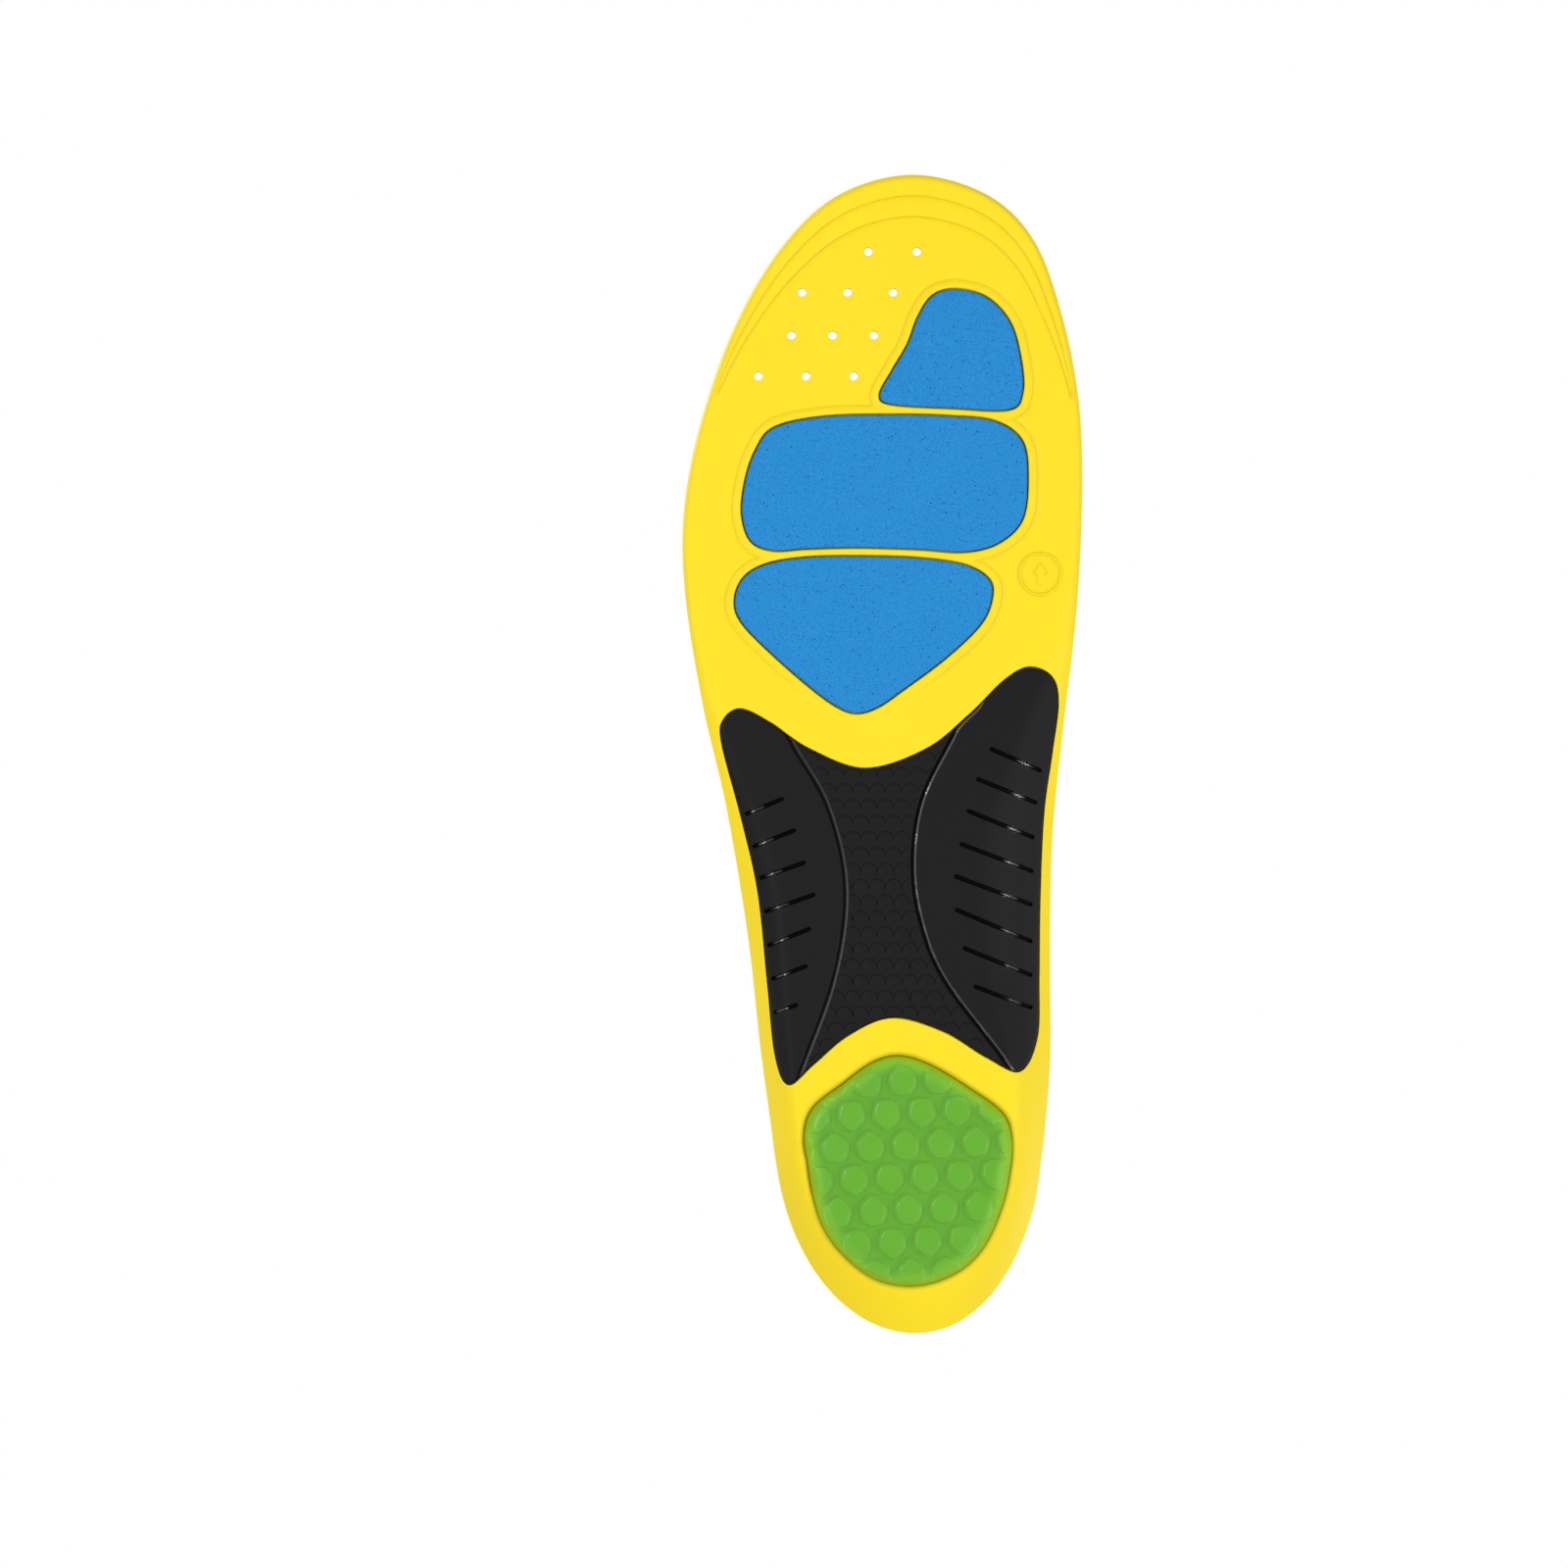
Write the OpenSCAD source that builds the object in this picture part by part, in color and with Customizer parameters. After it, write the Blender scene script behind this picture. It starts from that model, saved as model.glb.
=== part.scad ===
// Cushioned insole for a right shoe, lying sole down.
// +X is the medial (big toe) side, -Y the toe, +Y the heel and +Z the foot side.
// The origin is on the ground, under the middle of the insole's outline.

/* [Overall size] */
// Length from the toe tip to the back of the heel
insole_l = 270; // [240:1:300]
// Width across the ball of the foot
insole_w = 93; // [84:1:104]
// Foam thickness under the ball of the foot
ball_t = 3.4; // [3.2:0.1:5]
// Height of the foam floor at the heel centre
heel_floor = 6; // [5.5:0.5:8]
// How far the toe tip lifts off the ground
toe_spring = 2; // [0:0.5:3]
// Clearance under the arch and heel, which the gel bumps bridge
heel_lift = 0.9; // [0.5:0.1:1.5]

/* [Cup] */
// Height of the arch rim above the floor, on the medial side
medial_rise = 13.6; // [9:0.2:16]
// Height of the lateral rim above the floor
lateral_rise = 8; // [5:0.2:11]
// Height of the rim above the floor at the back of the heel
back_rise = 5; // [3:0.2:8]
// Height of the trimmed vertical band along the cup's rim
cup_band = 2; // [1.2:0.1:2.5]
// Height of the trimmed vertical band along the forefoot
toe_band = 1.1; // [0.8:0.1:1.4]

/* [Top layers] */
// Thickness of the knitted cover
cover_t = 0.8; // [0.5:0.1:1.2]
// Thickness of the barrier film on the back of the cover
film_t = 0.2; // [0.1:0.05:0.3]

/* [Forefoot pads] */
// Thickness of the toe and ball pads
pad_t = 1.9; // [1.2:0.1:2.2]
// Thickness of the adhesive tape behind each insert
tape_t = 0.2; // [0.1:0.05:0.3]
// Gap between an insert and the wall of its recess
pad_gap = 0.3; // [0.2:0.1:0.6]

/* [Arch shell] */
// Thickness of the moulded arch shell
shell_t = 1.6; // [1.2:0.1:2.2]
// Gap between the shell and the foam round it
shell_gap = 0.2; // [0.1:0.1:0.4]
// Depth of the textured middle below the smooth wings
step_t = 0.35; // [0.2:0.05:0.6]
// Depth of the flex slits in the wings
slit_depth = 0.9; // [0.4:0.1:1.1]
// Width of each flex slit
slit_w = 0.9; // [0.6:0.1:1.4]

/* [Heel gel pad] */
// Thickness of the gel pad without its bumps
gel_t = 2.4; // [1.6:0.1:3]
// Gap between the gel pad and the foam round it
gel_gap = 0.8; // [0.4:0.1:1.2]
// Width of a gel bump across its flats
bump_w = 6.6; // [5:0.2:7.2]
// Distance between bumps in a row
bump_pitch = 8.2; // [7.6:0.1:9]
// Distance between rows of bumps
bump_row = 7.5; // [7:0.1:8.5]

/* [Vents] */
// Diameter of the vent holes
vent_d = 2; // [1.5:0.1:3]

/* [Hidden] */

base_l = 270;             // the size that the outlines below are drawn at
base_w = 93;
sx = insole_w / base_w;
sy = insole_l / base_l;
edge_steps = 3;           // curve steps between two points of the outer outline
insert_steps = 4;         // and of an insert's outline
spine_k = 0.69;           // length of the spine as a share of the outline's length
above = 40;               // a height over every solid
skin_top = above + 1;     // and one over every prism
below = -2;               // a height under every solid
spring_from = -75;        // where the sole starts to rise towards the toe
spring_run = 60;          // and over how much length
cup_q = 2;                // power of the inner cup's curve
cup_reach = 0.85;         // the share of the way to the spine that the cup may take
tape_inset = 0.8;         // how far a tape stays inside its insert's recess
gel_top = heel_lift + gel_t;
bump_tilt = -2.6;         // turn of the rows of bumps
bump_from = [4.6, 75.8];  // the middle of their first row
bump_rows = 6;
bump_side = 3;            // bumps on each side of the middle, before the pad's edge cuts them
bump_inset = 1.2;         // the flat rim left round the bumps
pad_colour = [0.12, 0.52, 0.82];
tape_colour = [0.9, 0.9, 0.85];

// Outlines, anticlockwise seen from above
edge_pts = [[7, -135], [24, -130.5], [35, -120], [41.5, -103], [45.5, -83], [46.4, -62],
    [45.2, -35], [42, -5], [39.8, 20], [39.4, 45], [39.4, 70], [38.3, 85.8], [37.2, 95],
    [35.9, 104.1], [33.2, 112.9], [29.1, 121.2], [23.4, 128.4], [15.8, 133.4], [6.7, 135],
    [-2.2, 132.8], [-9.8, 127.7], [-15.8, 120.7], [-20.2, 112.6], [-23.2, 103.9],
    [-25, 94.8], [-26.2, 85.7], [-28.6, 68], [-31.5, 42], [-36.5, 12], [-42, -12],
    [-46.1, -38], [-46.2, -58], [-42, -79], [-34, -101], [-23, -119], [-10, -130.5]];
toe_pts = [[17, -108.5], [24.2, -106.6], [29.7, -100.8], [32.2, -92.4], [32.7, -84.3], [29.5, -80],
    [16, -80.3], [2, -81.2], [-1, -83.6], [2, -89.5], [5.5, -95.5], [8, -102], [11.5, -107]];
ball_pts = [[2, -79.3], [15, -79], [26, -77.8], [32.6, -73], [33.9, -64], [32.6, -54.5],
    [27, -49], [19, -46.9], [8, -47.5], [-6, -47.9], [-18, -47.6], [-25.5, -47.2], [-30.8, -49.4],
    [-33, -55.5], [-32.4, -63], [-30, -70.5], [-25.5, -76.2], [-14, -78.8]];
meta_pts = [[-6, -46.4], [8, -46], [19, -44.4], [24.8, -41], [25.6, -36.5], [23, -30.3],
    [15, -22.5], [5, -15], [-1, -10.9], [-6, -9.4], [-10.5, -10.8], [-16.5, -15],
    [-25.5, -22.8], [-33, -30.5], [-34.7, -36], [-32.5, -41.4], [-27, -44.6], [-18, -46.1]];
shell_pts = [[34, -20.5], [39.4, -18.2], [41, -12], [39.6, 0], [37.8, 14], [37, 35],
    [36.8, 52], [36.3, 66], [32, 73.8], [24, 70.5], [14, 64.5], [2, 61.3], [-8, 65.4],
    [-15.9, 72], [-22, 76.9], [-25.2, 70], [-27, 53], [-29.2, 32], [-33, 15], [-37.6, -2.6],
    [-37.2, -8.2], [-33, -10.8], [-26, -7.5], [-17, -1.5], [-4, 3], [10, -1.5], [20, -9.5],
    [28, -17.3]];
middle_pts = [[-24, -12], [-21.6, -3.3], [-13, 12], [-8.8, 31], [-11.5, 52], [-19.6, 74.7],
    [-22, 84], [34, 84], [28.9, 72.4], [14.1, 52.4], [8.4, 38], [6.8, 24.4], [9, 10],
    [16.5, -5.3], [20, -14]];
gel_pts = [[4, 70.8], [11, 73], [20, 78.4], [27.4, 84], [29.3, 90], [28.8, 97], [27, 105],
    [23, 114], [17, 119.8], [8, 122.8], [-1, 121.6], [-8, 116.6], [-12.8, 110.5],
    [-15.3, 103.5], [-16.8, 95], [-17.6, 88.5], [-15.6, 82.5], [-9, 77.2], [-2, 72.2]];

// Flex slits: inner end x, y, outer end x, y
lateral_slits = [[-23.5, 10.3, -31.6, 13.7], [-20.7, 17.6, -29.9, 21.3],
    [-18.4, 25.1, -28.2, 28.6], [-16.2, 32.6, -27.1, 36.4], [-17.2, 40.5, -26.4, 44.3],
    [-18, 49.2, -25.5, 52.1], [-20.2, 58.2, -24.9, 59.9]];
medial_slits = [[25.2, -1.3, 36.6, 3.6], [22.1, 5.7, 35.6, 11.1], [19.9, 13.1, 35, 19.2],
    [18.3, 20.8, 34.8, 27.1], [17, 28.3, 34.6, 34.9], [17.2, 36.1, 34.6, 43.5],
    [19, 45, 34.6, 51.4], [21.5, 53.9, 34.6, 59]];

// Vent rows: y, first x, pitch, count
vent_rows = [[-117, -3.4, 11.3, 2], [-107.5, -18.8, 10.6, 3], [-97.5, -21.3, 9.6, 3],
    [-88, -29, 11.1, 3]];

// Heights and widths along the length, as [y, value]
spine_x = [[-93, 4.5], [-50, 0], [-10, 0], [40, 4], [93, 5.5]];
floor_rise = [[-135, 0.5], [-110, 0.2], [-80, 0.03], [-30, 0], [0, 0.2], [40, 0.7], [80, 1],
    [135, 1]];
lift_share = [[-9, 0], [25, 1]];
medial_rim = [[-40, 0], [-20, 0.12], [-5, 0.38], [10, 0.68], [30, 0.93], [48, 1], [70, 0.82],
    [95, 0.74], [115, 0.74], [127, 0.62], [135, back_rise / medial_rise]];
lateral_rim = [[-12, 0], [5, 0.18], [20, 0.49], [35, 0.78], [55, 0.96], [75, 1], [100, 0.9],
    [122, 0.84], [135, back_rise / lateral_rise]];
medial_wall = [[-60, 2], [-30, 5], [0, 14], [30, 20], [55, 20], [80, 12], [105, 9], [120, 12],
    [135, 15]];
lateral_wall = [[-30, 2], [0, 5], [30, 9], [80, 8], [105, 8], [120, 11], [135, 15]];
medial_power = [[-60, 3], [-20, 2.2], [20, 2], [55, 2], [80, 1.7], [120, 1.5], [135, 1.3]];
lateral_power = [[-30, 3], [0, 2.2], [40, 1.8], [100, 1.6], [135, 1.3]];
medial_cup = [[-50, 8], [-20, 22], [20, 30], [55, 30], [80, 20], [105, 17], [135, 18]];
lateral_cup = [[-20, 8], [10, 14], [50, 15], [100, 15], [135, 18]];
band_share = [[-40, 0], [0, 0.6], [40, 1]];
wall_stops = [0, 0.3, 0.55, 0.78, 1];       // from the foot of the wall to its top
cup_stops = [0, 0.12, 0.3, 0.55, 1];        // from the rim to the foot of the cup
inner_stops = [0.45, 0.92];                 // from there to the spine

// A smooth curve through points
function curve_at(a, b, c, d, t) = 0.5 * (2 * b + (c - a) * t
    + (2 * a - 5 * b + 4 * c - d) * t * t + (3 * b - a - 3 * c + d) * t * t * t);
function smooth_loop(p, steps) = let (n = len(p)) [for (i = [0:n - 1], j = [0:steps - 1])
    curve_at(p[(i + n - 1) % n], p[i], p[(i + 1) % n], p[(i + 2) % n], j / steps)];
function fitted(p) = [for (q = p) [q.x * sx, q.y * sy]];
function insert_loop(p) = smooth_loop(fitted(p), insert_steps);
// The same loop moved outwards by d
function grown(p, d) = let (n = len(p)) [for (i = [0:n - 1])
    let (t = p[(i + 1) % n] - p[(i + n - 1) % n]) p[i] + d * [t.y, -t.x] / norm(t)];

edge = smooth_loop(fitted(edge_pts), edge_steps);
n_edge = len(edge);
half = n_edge / 2;
function medial(i) = i <= half;

// Facts along the length, at y in millimetres
function floor_z(y) = let (s = lookup(y / sy, floor_rise))
    ball_t + s * (y < 0 ? toe_spring : heel_floor - ball_t);
function sole_z(y) = let (v = y / sy) v < spring_from
    ? toe_spring * pow((spring_from - v) / spring_run, 2) : heel_lift * lookup(v, lift_share);

// Facts at each outline point
function spine(i) = let (y = edge[i].y / sy * spine_k) [lookup(y, spine_x) * sx, y * sy];
reach = [for (i = [0:n_edge - 1]) norm(spine(i) - edge[i])];
inward = [for (i = [0:n_edge - 1]) (spine(i) - edge[i]) / reach[i]];
function along(i, m, l) = lookup(edge[i].y / sy, medial(i) ? m : l);
rim_z = [for (i = [0:n_edge - 1]) floor_z(edge[i].y)
    + along(i, medial_rim, lateral_rim) * (medial(i) ? medial_rise : lateral_rise)];
wall_w = [for (i = [0:n_edge - 1]) along(i, medial_wall, lateral_wall)];
wall_q = [for (i = [0:n_edge - 1]) along(i, medial_power, lateral_power)];
cup_w = [for (i = [0:n_edge - 1])
    min(along(i, medial_cup, lateral_cup), cup_reach * reach[i])];
band = [for (i = [0:n_edge - 1])
    toe_band + along(i, band_share, band_share) * (cup_band - toe_band)];

function plan(i, d) = edge[i] + inward[i] * d;
// A point of the outer surface at inset d, moved t into the foam
function outer_point(i, d, t) = let (p = plan(i, d), b = sole_z(p.y),
    h = rim_z[i] - band[i] - b, x = max(0, 1 - d / wall_w[i]),
    m = wall_q[i] * h / wall_w[i] * pow(x, wall_q[i] - 1), k = sqrt(1 + m * m),
    r = plan(i, d + t * m / k)) [r.x, r.y, b + h * pow(x, wall_q[i]) + t / k];
// A point of the foam's top surface at inset d, raised by t
function top_point(i, d, t) = let (p = plan(i, d), f = floor_z(p.y),
    x = max(0, 1 - d / cup_w[i])) [p.x, p.y, f + (rim_z[i] - f) * pow(x, cup_q) + t];

function outer_ring(x, t) = [for (i = [0:n_edge - 1]) outer_point(i, wall_w[i] * (1 - x), t)];
function outer_inner(g, t) = [for (i = [0:n_edge - 1])
    outer_point(i, wall_w[i] + (reach[i] - wall_w[i]) * g, t)];
function top_ring(s, t) = [for (i = [0:n_edge - 1]) top_point(i, cup_w[i] * s, t)];
function top_inner(g, t) = [for (i = [0:n_edge - 1])
    top_point(i, cup_w[i] + (reach[i] - cup_w[i]) * g, t)];
function at_z(ring, z) = [for (p = ring) [p.x, p.y, z]];
function backwards(l) = [for (i = [len(l) - 1:-1:0]) l[i]];

// Rings from the spine out to the rim, and back
function sole_rings(t) = concat([for (g = backwards(inner_stops)) outer_inner(g, t)],
    [for (x = wall_stops) outer_ring(x, t)]);
function top_rings(t) = concat([for (s = cup_stops) top_ring(s, t)],
    [for (g = inner_stops) top_inner(g, t)]);

// The closed solid through a list of rings, from the underside's spine to the top's
module ring_solid(rings) {
    n = n_edge;
    last = (len(rings) - 1) * n;
    sides = [for (r = [0:len(rings) - 2], i = [0:n - 1]) let (a = r * n + i,
        b = r * n + (i + 1) % n) each [[a, b + n, b], [a, a + n, b + n]]];
    caps = [for (i = [0:half - 1]) let (a = i, b = i + 1, c = n - 1 - i, d = (n - i) % n)
        each [if (b != c) [a, b, c], if (a != d) [a, c, d]]];
    lids = [for (f = caps) [for (k = [2:-1:0]) last + f[k]]];
    polyhedron(points = [for (r = rings, p = r) p], faces = concat(sides, caps, lids));
}

// The whole foam before anything is cut from it
module blank() {
    ring_solid(concat(sole_rings(0), top_rings(0)));
}

// The space further than t inside the outer surface, open upwards
module inside_skin(t) {
    rings = sole_rings(t);
    rim = rings[len(rings) - 1];
    ring_solid(concat(rings, [at_z(rim, skin_top), at_z(rings[0], skin_top)]));
}

module prism(loop, z0, z1) {
    translate([0, 0, z0]) linear_extrude(z1 - z0) polygon(loop);
}

module vents() {
    for (r = vent_rows, k = [0:r[3] - 1])
        translate([(r[1] + k * r[2]) * sx, r[0] * sy, below])
            cylinder(d = vent_d, h = above, $fn = 24);
}

toe_loop = insert_loop(toe_pts);
ball_loop = insert_loop(ball_pts);
meta_loop = insert_loop(meta_pts);
shell_loop = insert_loop(shell_pts);
gel_loop = insert_loop(gel_pts);

module recess(loop, top) {
    prism(loop, below, top + tape_t);
}

// A flat-topped insert that fills a recess down to the insole's own underside
module insert(loop, gap, top) {
    intersection() {
        prism(grown(loop, -gap), below, top);
        blank();
    }
}

module tape(loop, top) {
    prism(grown(loop, -tape_inset), top, top + tape_t);
}

module slits(list) {
    for (s = list) let (a = [s[0] * sx, s[1] * sy], b = [s[2] * sx, s[3] * sy])
        translate([a.x, a.y, below]) rotate(atan2(b.y - a.y, b.x - a.x))
            translate([0, -slit_w / 2, 0]) cube([norm(b - a), slit_w, above]);
}

// Gel bumps in offset rows, tilted a little, inside the pad's edge
module bumps() {
    intersection() {
        prism(grown(gel_loop, -bump_inset), 0, gel_top);
        translate([bump_from.x * sx, bump_from.y * sy, 0]) rotate(bump_tilt)
            for (r = [0:bump_rows - 1], k = [-bump_side:bump_side])
                translate([(k + (r % 2) / 2) * bump_pitch, r * bump_row, 0])
                    rotate(30) cylinder(d = bump_w / cos(30), h = gel_top, $fn = 6);
    }
}

module top_cover() {
    color([0.25, 0.55, 0.85]) difference() {
        ring_solid(concat(backwards(top_rings(film_t)), top_rings(film_t + cover_t)));
        vents();
    }
}

module barrier_film() {
    color([0.85, 0.85, 0.88]) difference() {
        ring_solid(concat(backwards(top_rings(0)), top_rings(film_t)));
        vents();
    }
}

module foam_base() {
    color([0.98, 0.87, 0.13]) difference() {
        blank();
        recess(toe_loop, pad_t);
        recess(ball_loop, pad_t);
        recess(meta_loop, pad_t);
        recess(grown(gel_loop, gel_gap), gel_top);
        difference() {
            prism(shell_loop, below, above);
            inside_skin(shell_t);
        }
        vents();
    }
}

module toe_pad() {
    color(pad_colour) insert(toe_loop, pad_gap, pad_t);
}

module toe_pad_tape() {
    color(tape_colour) tape(toe_loop, pad_t);
}

module ball_pad() {
    color(pad_colour) prism(grown(ball_loop, -pad_gap), 0, pad_t);
}

module ball_pad_tape() {
    color(tape_colour) tape(ball_loop, pad_t);
}

module metatarsal_pad() {
    color(pad_colour) prism(grown(meta_loop, -pad_gap), 0, pad_t);
}

module metatarsal_pad_tape() {
    color(tape_colour) tape(meta_loop, pad_t);
}

module arch_shell() {
    color([0.13, 0.13, 0.14]) difference() {
        intersection() {
            prism(grown(shell_loop, -shell_gap), below, above);
            blank();
        }
        inside_skin(shell_t);
        difference() {
            prism(insert_loop(middle_pts), below, above);
            inside_skin(step_t);
        }
        difference() {
            union() {
                slits(lateral_slits);
                slits(medial_slits);
            }
            inside_skin(slit_depth);
        }
    }
}

module heel_gel_pad() {
    color([0.36, 0.66, 0.2]) union() {
        insert(gel_loop, 0, gel_top);
        bumps();
    }
}

module heel_gel_tape() {
    color(tape_colour) tape(gel_loop, gel_top);
}

top_cover();
barrier_film();
foam_base();
toe_pad();
toe_pad_tape();
ball_pad();
ball_pad_tape();
metatarsal_pad();
metatarsal_pad_tape();
arch_shell();
heel_gel_pad();
heel_gel_tape();
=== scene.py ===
import math

import bmesh
import bpy
import numpy as np
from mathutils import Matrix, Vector
from mathutils.bvhtree import BVHTree
from mathutils.geometry import delaunay_2d_cdt


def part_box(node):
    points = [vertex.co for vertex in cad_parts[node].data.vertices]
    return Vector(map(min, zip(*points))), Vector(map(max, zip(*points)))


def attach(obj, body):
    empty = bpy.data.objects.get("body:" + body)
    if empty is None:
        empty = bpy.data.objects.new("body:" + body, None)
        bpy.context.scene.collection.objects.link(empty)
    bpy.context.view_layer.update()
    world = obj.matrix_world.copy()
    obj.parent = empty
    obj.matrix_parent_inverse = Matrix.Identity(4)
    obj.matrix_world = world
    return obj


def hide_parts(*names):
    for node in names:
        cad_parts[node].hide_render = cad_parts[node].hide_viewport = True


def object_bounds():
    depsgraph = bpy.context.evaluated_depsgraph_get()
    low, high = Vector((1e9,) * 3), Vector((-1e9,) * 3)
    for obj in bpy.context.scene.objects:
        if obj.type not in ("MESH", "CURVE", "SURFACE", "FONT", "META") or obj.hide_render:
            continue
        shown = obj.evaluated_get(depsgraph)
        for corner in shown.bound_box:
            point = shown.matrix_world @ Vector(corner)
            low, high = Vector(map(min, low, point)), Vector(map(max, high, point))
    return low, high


# The cushioned insole's looks. Shapes are worked out in millimetres, in the CAD's frame:
# +X is the medial side, -Y the toe, +Y the heel and +Z the foot side.

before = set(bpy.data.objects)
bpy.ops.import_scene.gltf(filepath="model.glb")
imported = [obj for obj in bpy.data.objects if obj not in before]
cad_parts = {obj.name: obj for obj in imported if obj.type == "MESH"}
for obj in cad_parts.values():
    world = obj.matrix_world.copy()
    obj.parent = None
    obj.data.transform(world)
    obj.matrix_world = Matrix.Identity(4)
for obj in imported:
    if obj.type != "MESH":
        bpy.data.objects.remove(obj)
cad_low, cad_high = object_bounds()
MM = 0.001
WELD = 0.0005 * MM         # points nearer than this are one


def node_box(node):
    low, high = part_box(node)
    return np.array(low) / MM, np.array(high) / MM


# ---------- sizes from the frame
PAD_TOP = node_box("ball_pad")[1][2]
TAPE_T = node_box("ball_pad_tape")[1][2] - PAD_TOP
GEL_TOP = node_box("heel_gel_pad")[1][2]
BALL_T = node_box("barrier_film")[0][2]
FILM_T = node_box("barrier_film")[1][2] - node_box("foam_base")[1][2]
COVER_T = node_box("top_cover")[1][2] - node_box("barrier_film")[1][2]

# ---------- sizes of the CAD model
HEEL_FLOOR = 6
TOE_SPRING = 2
HEEL_LIFT = 0.9
MEDIAL_RISE = 13.6
LATERAL_RISE = 8
BACK_RISE = 5
CUP_BAND = 2
TOE_BAND = 1.1
PAD_GAP = 0.3
SHELL_T = 1.6
SHELL_GAP = 0.2
STEP_T = 0.35
SLIT_W = 0.9
GEL_GAP = 0.8
BUMP_PITCH = 8.2
BUMP_ROW = 7.5
BUMP_TILT = -2.6
BUMP_FROM = (4.6, 75.8)
VENT_D = 2
SPINE_K = 0.69
SPRING_FROM = -75
SPRING_RUN = 60
CUP_REACH = 0.85

EDGE_PTS = [
    [7, -135], [24, -130.5], [35, -120], [41.5, -103], [45.5, -83], [46.4, -62], [45.2, -35], [42, -5],
    [39.8, 20], [39.4, 45], [39.4, 70], [38.3, 85.8], [37.2, 95], [35.9, 104.1], [33.2, 112.9],
    [29.1, 121.2], [23.4, 128.4], [15.8, 133.4], [6.7, 135], [-2.2, 132.8], [-9.8, 127.7], [-15.8, 120.7],
    [-20.2, 112.6], [-23.2, 103.9], [-25, 94.8], [-26.2, 85.7], [-28.6, 68], [-31.5, 42], [-36.5, 12],
    [-42, -12], [-46.1, -38], [-46.2, -58], [-42, -79], [-34, -101], [-23, -119], [-10, -130.5]]
TOE_PTS = [
    [17, -108.5], [24.2, -106.6], [29.7, -100.8], [32.2, -92.4], [32.7, -84.3], [29.5, -80], [16, -80.3],
    [2, -81.2], [-1, -83.6], [2, -89.5], [5.5, -95.5], [8, -102], [11.5, -107]]
BALL_PTS = [
    [2, -79.3], [15, -79], [26, -77.8], [32.6, -73], [33.9, -64], [32.6, -54.5], [27, -49], [19, -46.9],
    [8, -47.5], [-6, -47.9], [-18, -47.6], [-25.5, -47.2], [-30.8, -49.4], [-33, -55.5], [-32.4, -63],
    [-30, -70.5], [-25.5, -76.2], [-14, -78.8]]
META_PTS = [
    [-6, -46.4], [8, -46], [19, -44.4], [24.8, -41], [25.6, -36.5], [23, -30.3], [15, -22.5], [5, -15],
    [-1, -10.9], [-6, -9.4], [-10.5, -10.8], [-16.5, -15], [-25.5, -22.8], [-33, -30.5], [-34.7, -36],
    [-32.5, -41.4], [-27, -44.6], [-18, -46.1]]
SHELL_PTS = [
    [34, -20.5], [39.4, -18.2], [41, -12], [39.6, 0], [37.8, 14], [37, 35], [36.8, 52], [36.3, 66],
    [32, 73.8], [24, 70.5], [14, 64.5], [2, 61.3], [-8, 65.4], [-15.9, 72], [-22, 76.9], [-25.2, 70],
    [-27, 53], [-29.2, 32], [-33, 15], [-37.6, -2.6], [-37.2, -8.2], [-33, -10.8], [-26, -7.5],
    [-17, -1.5], [-4, 3], [10, -1.5], [20, -9.5], [28, -17.3]]
MIDDLE_PTS = [
    [-24, -12], [-21.6, -3.3], [-13, 12], [-8.8, 31], [-11.5, 52], [-19.6, 74.7], [-22, 84], [34, 84],
    [28.9, 72.4], [14.1, 52.4], [8.4, 38], [6.8, 24.4], [9, 10], [16.5, -5.3], [20, -14]]
GEL_PTS = [
    [4, 70.8], [11, 73], [20, 78.4], [27.4, 84], [29.3, 90], [28.8, 97], [27, 105], [23, 114],
    [17, 119.8], [8, 122.8], [-1, 121.6], [-8, 116.6], [-12.8, 110.5], [-15.3, 103.5], [-16.8, 95],
    [-17.6, 88.5], [-15.6, 82.5], [-9, 77.2], [-2, 72.2]]
# Flex slits: inner end x, y, outer end x, y
SLITS = [
    [-23.5, 10.3, -31.6, 13.7], [-20.7, 17.6, -29.9, 21.3], [-18.4, 25.1, -28.2, 28.6],
    [-16.2, 32.6, -27.1, 36.4], [-17.2, 40.5, -26.4, 44.3], [-18, 49.2, -25.5, 52.1],
    [-20.2, 58.2, -24.9, 59.9], [25.2, -1.3, 36.6, 3.6], [22.1, 5.7, 35.6, 11.1], [19.9, 13.1, 35, 19.2],
    [18.3, 20.8, 34.8, 27.1], [17, 28.3, 34.6, 34.9], [17.2, 36.1, 34.6, 43.5], [19, 45, 34.6, 51.4],
    [21.5, 53.9, 34.6, 59]]
# Vent rows: y, first x, pitch, count
VENT_ROWS = [
    [-117, -3.4, 11.3, 2], [-107.5, -18.8, 10.6, 3], [-97.5, -21.3, 9.6, 3], [-88, -29, 11.1, 3]]
# The printed heel patch's outline
HEEL_PRINT_PTS = [
    [8, 62.2], [14.5, 64.6], [25.9, 73.2], [30.8, 79.5], [31.3, 86.5], [29.3, 99], [23.4, 111.3],
    [14, 115.8], [8, 116.2], [2.5, 114.8], [-6.1, 108], [-11.6, 95], [-14, 83.5], [-12.9, 78.5],
    [-4.2, 69.8], [2, 63.2]]


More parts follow.
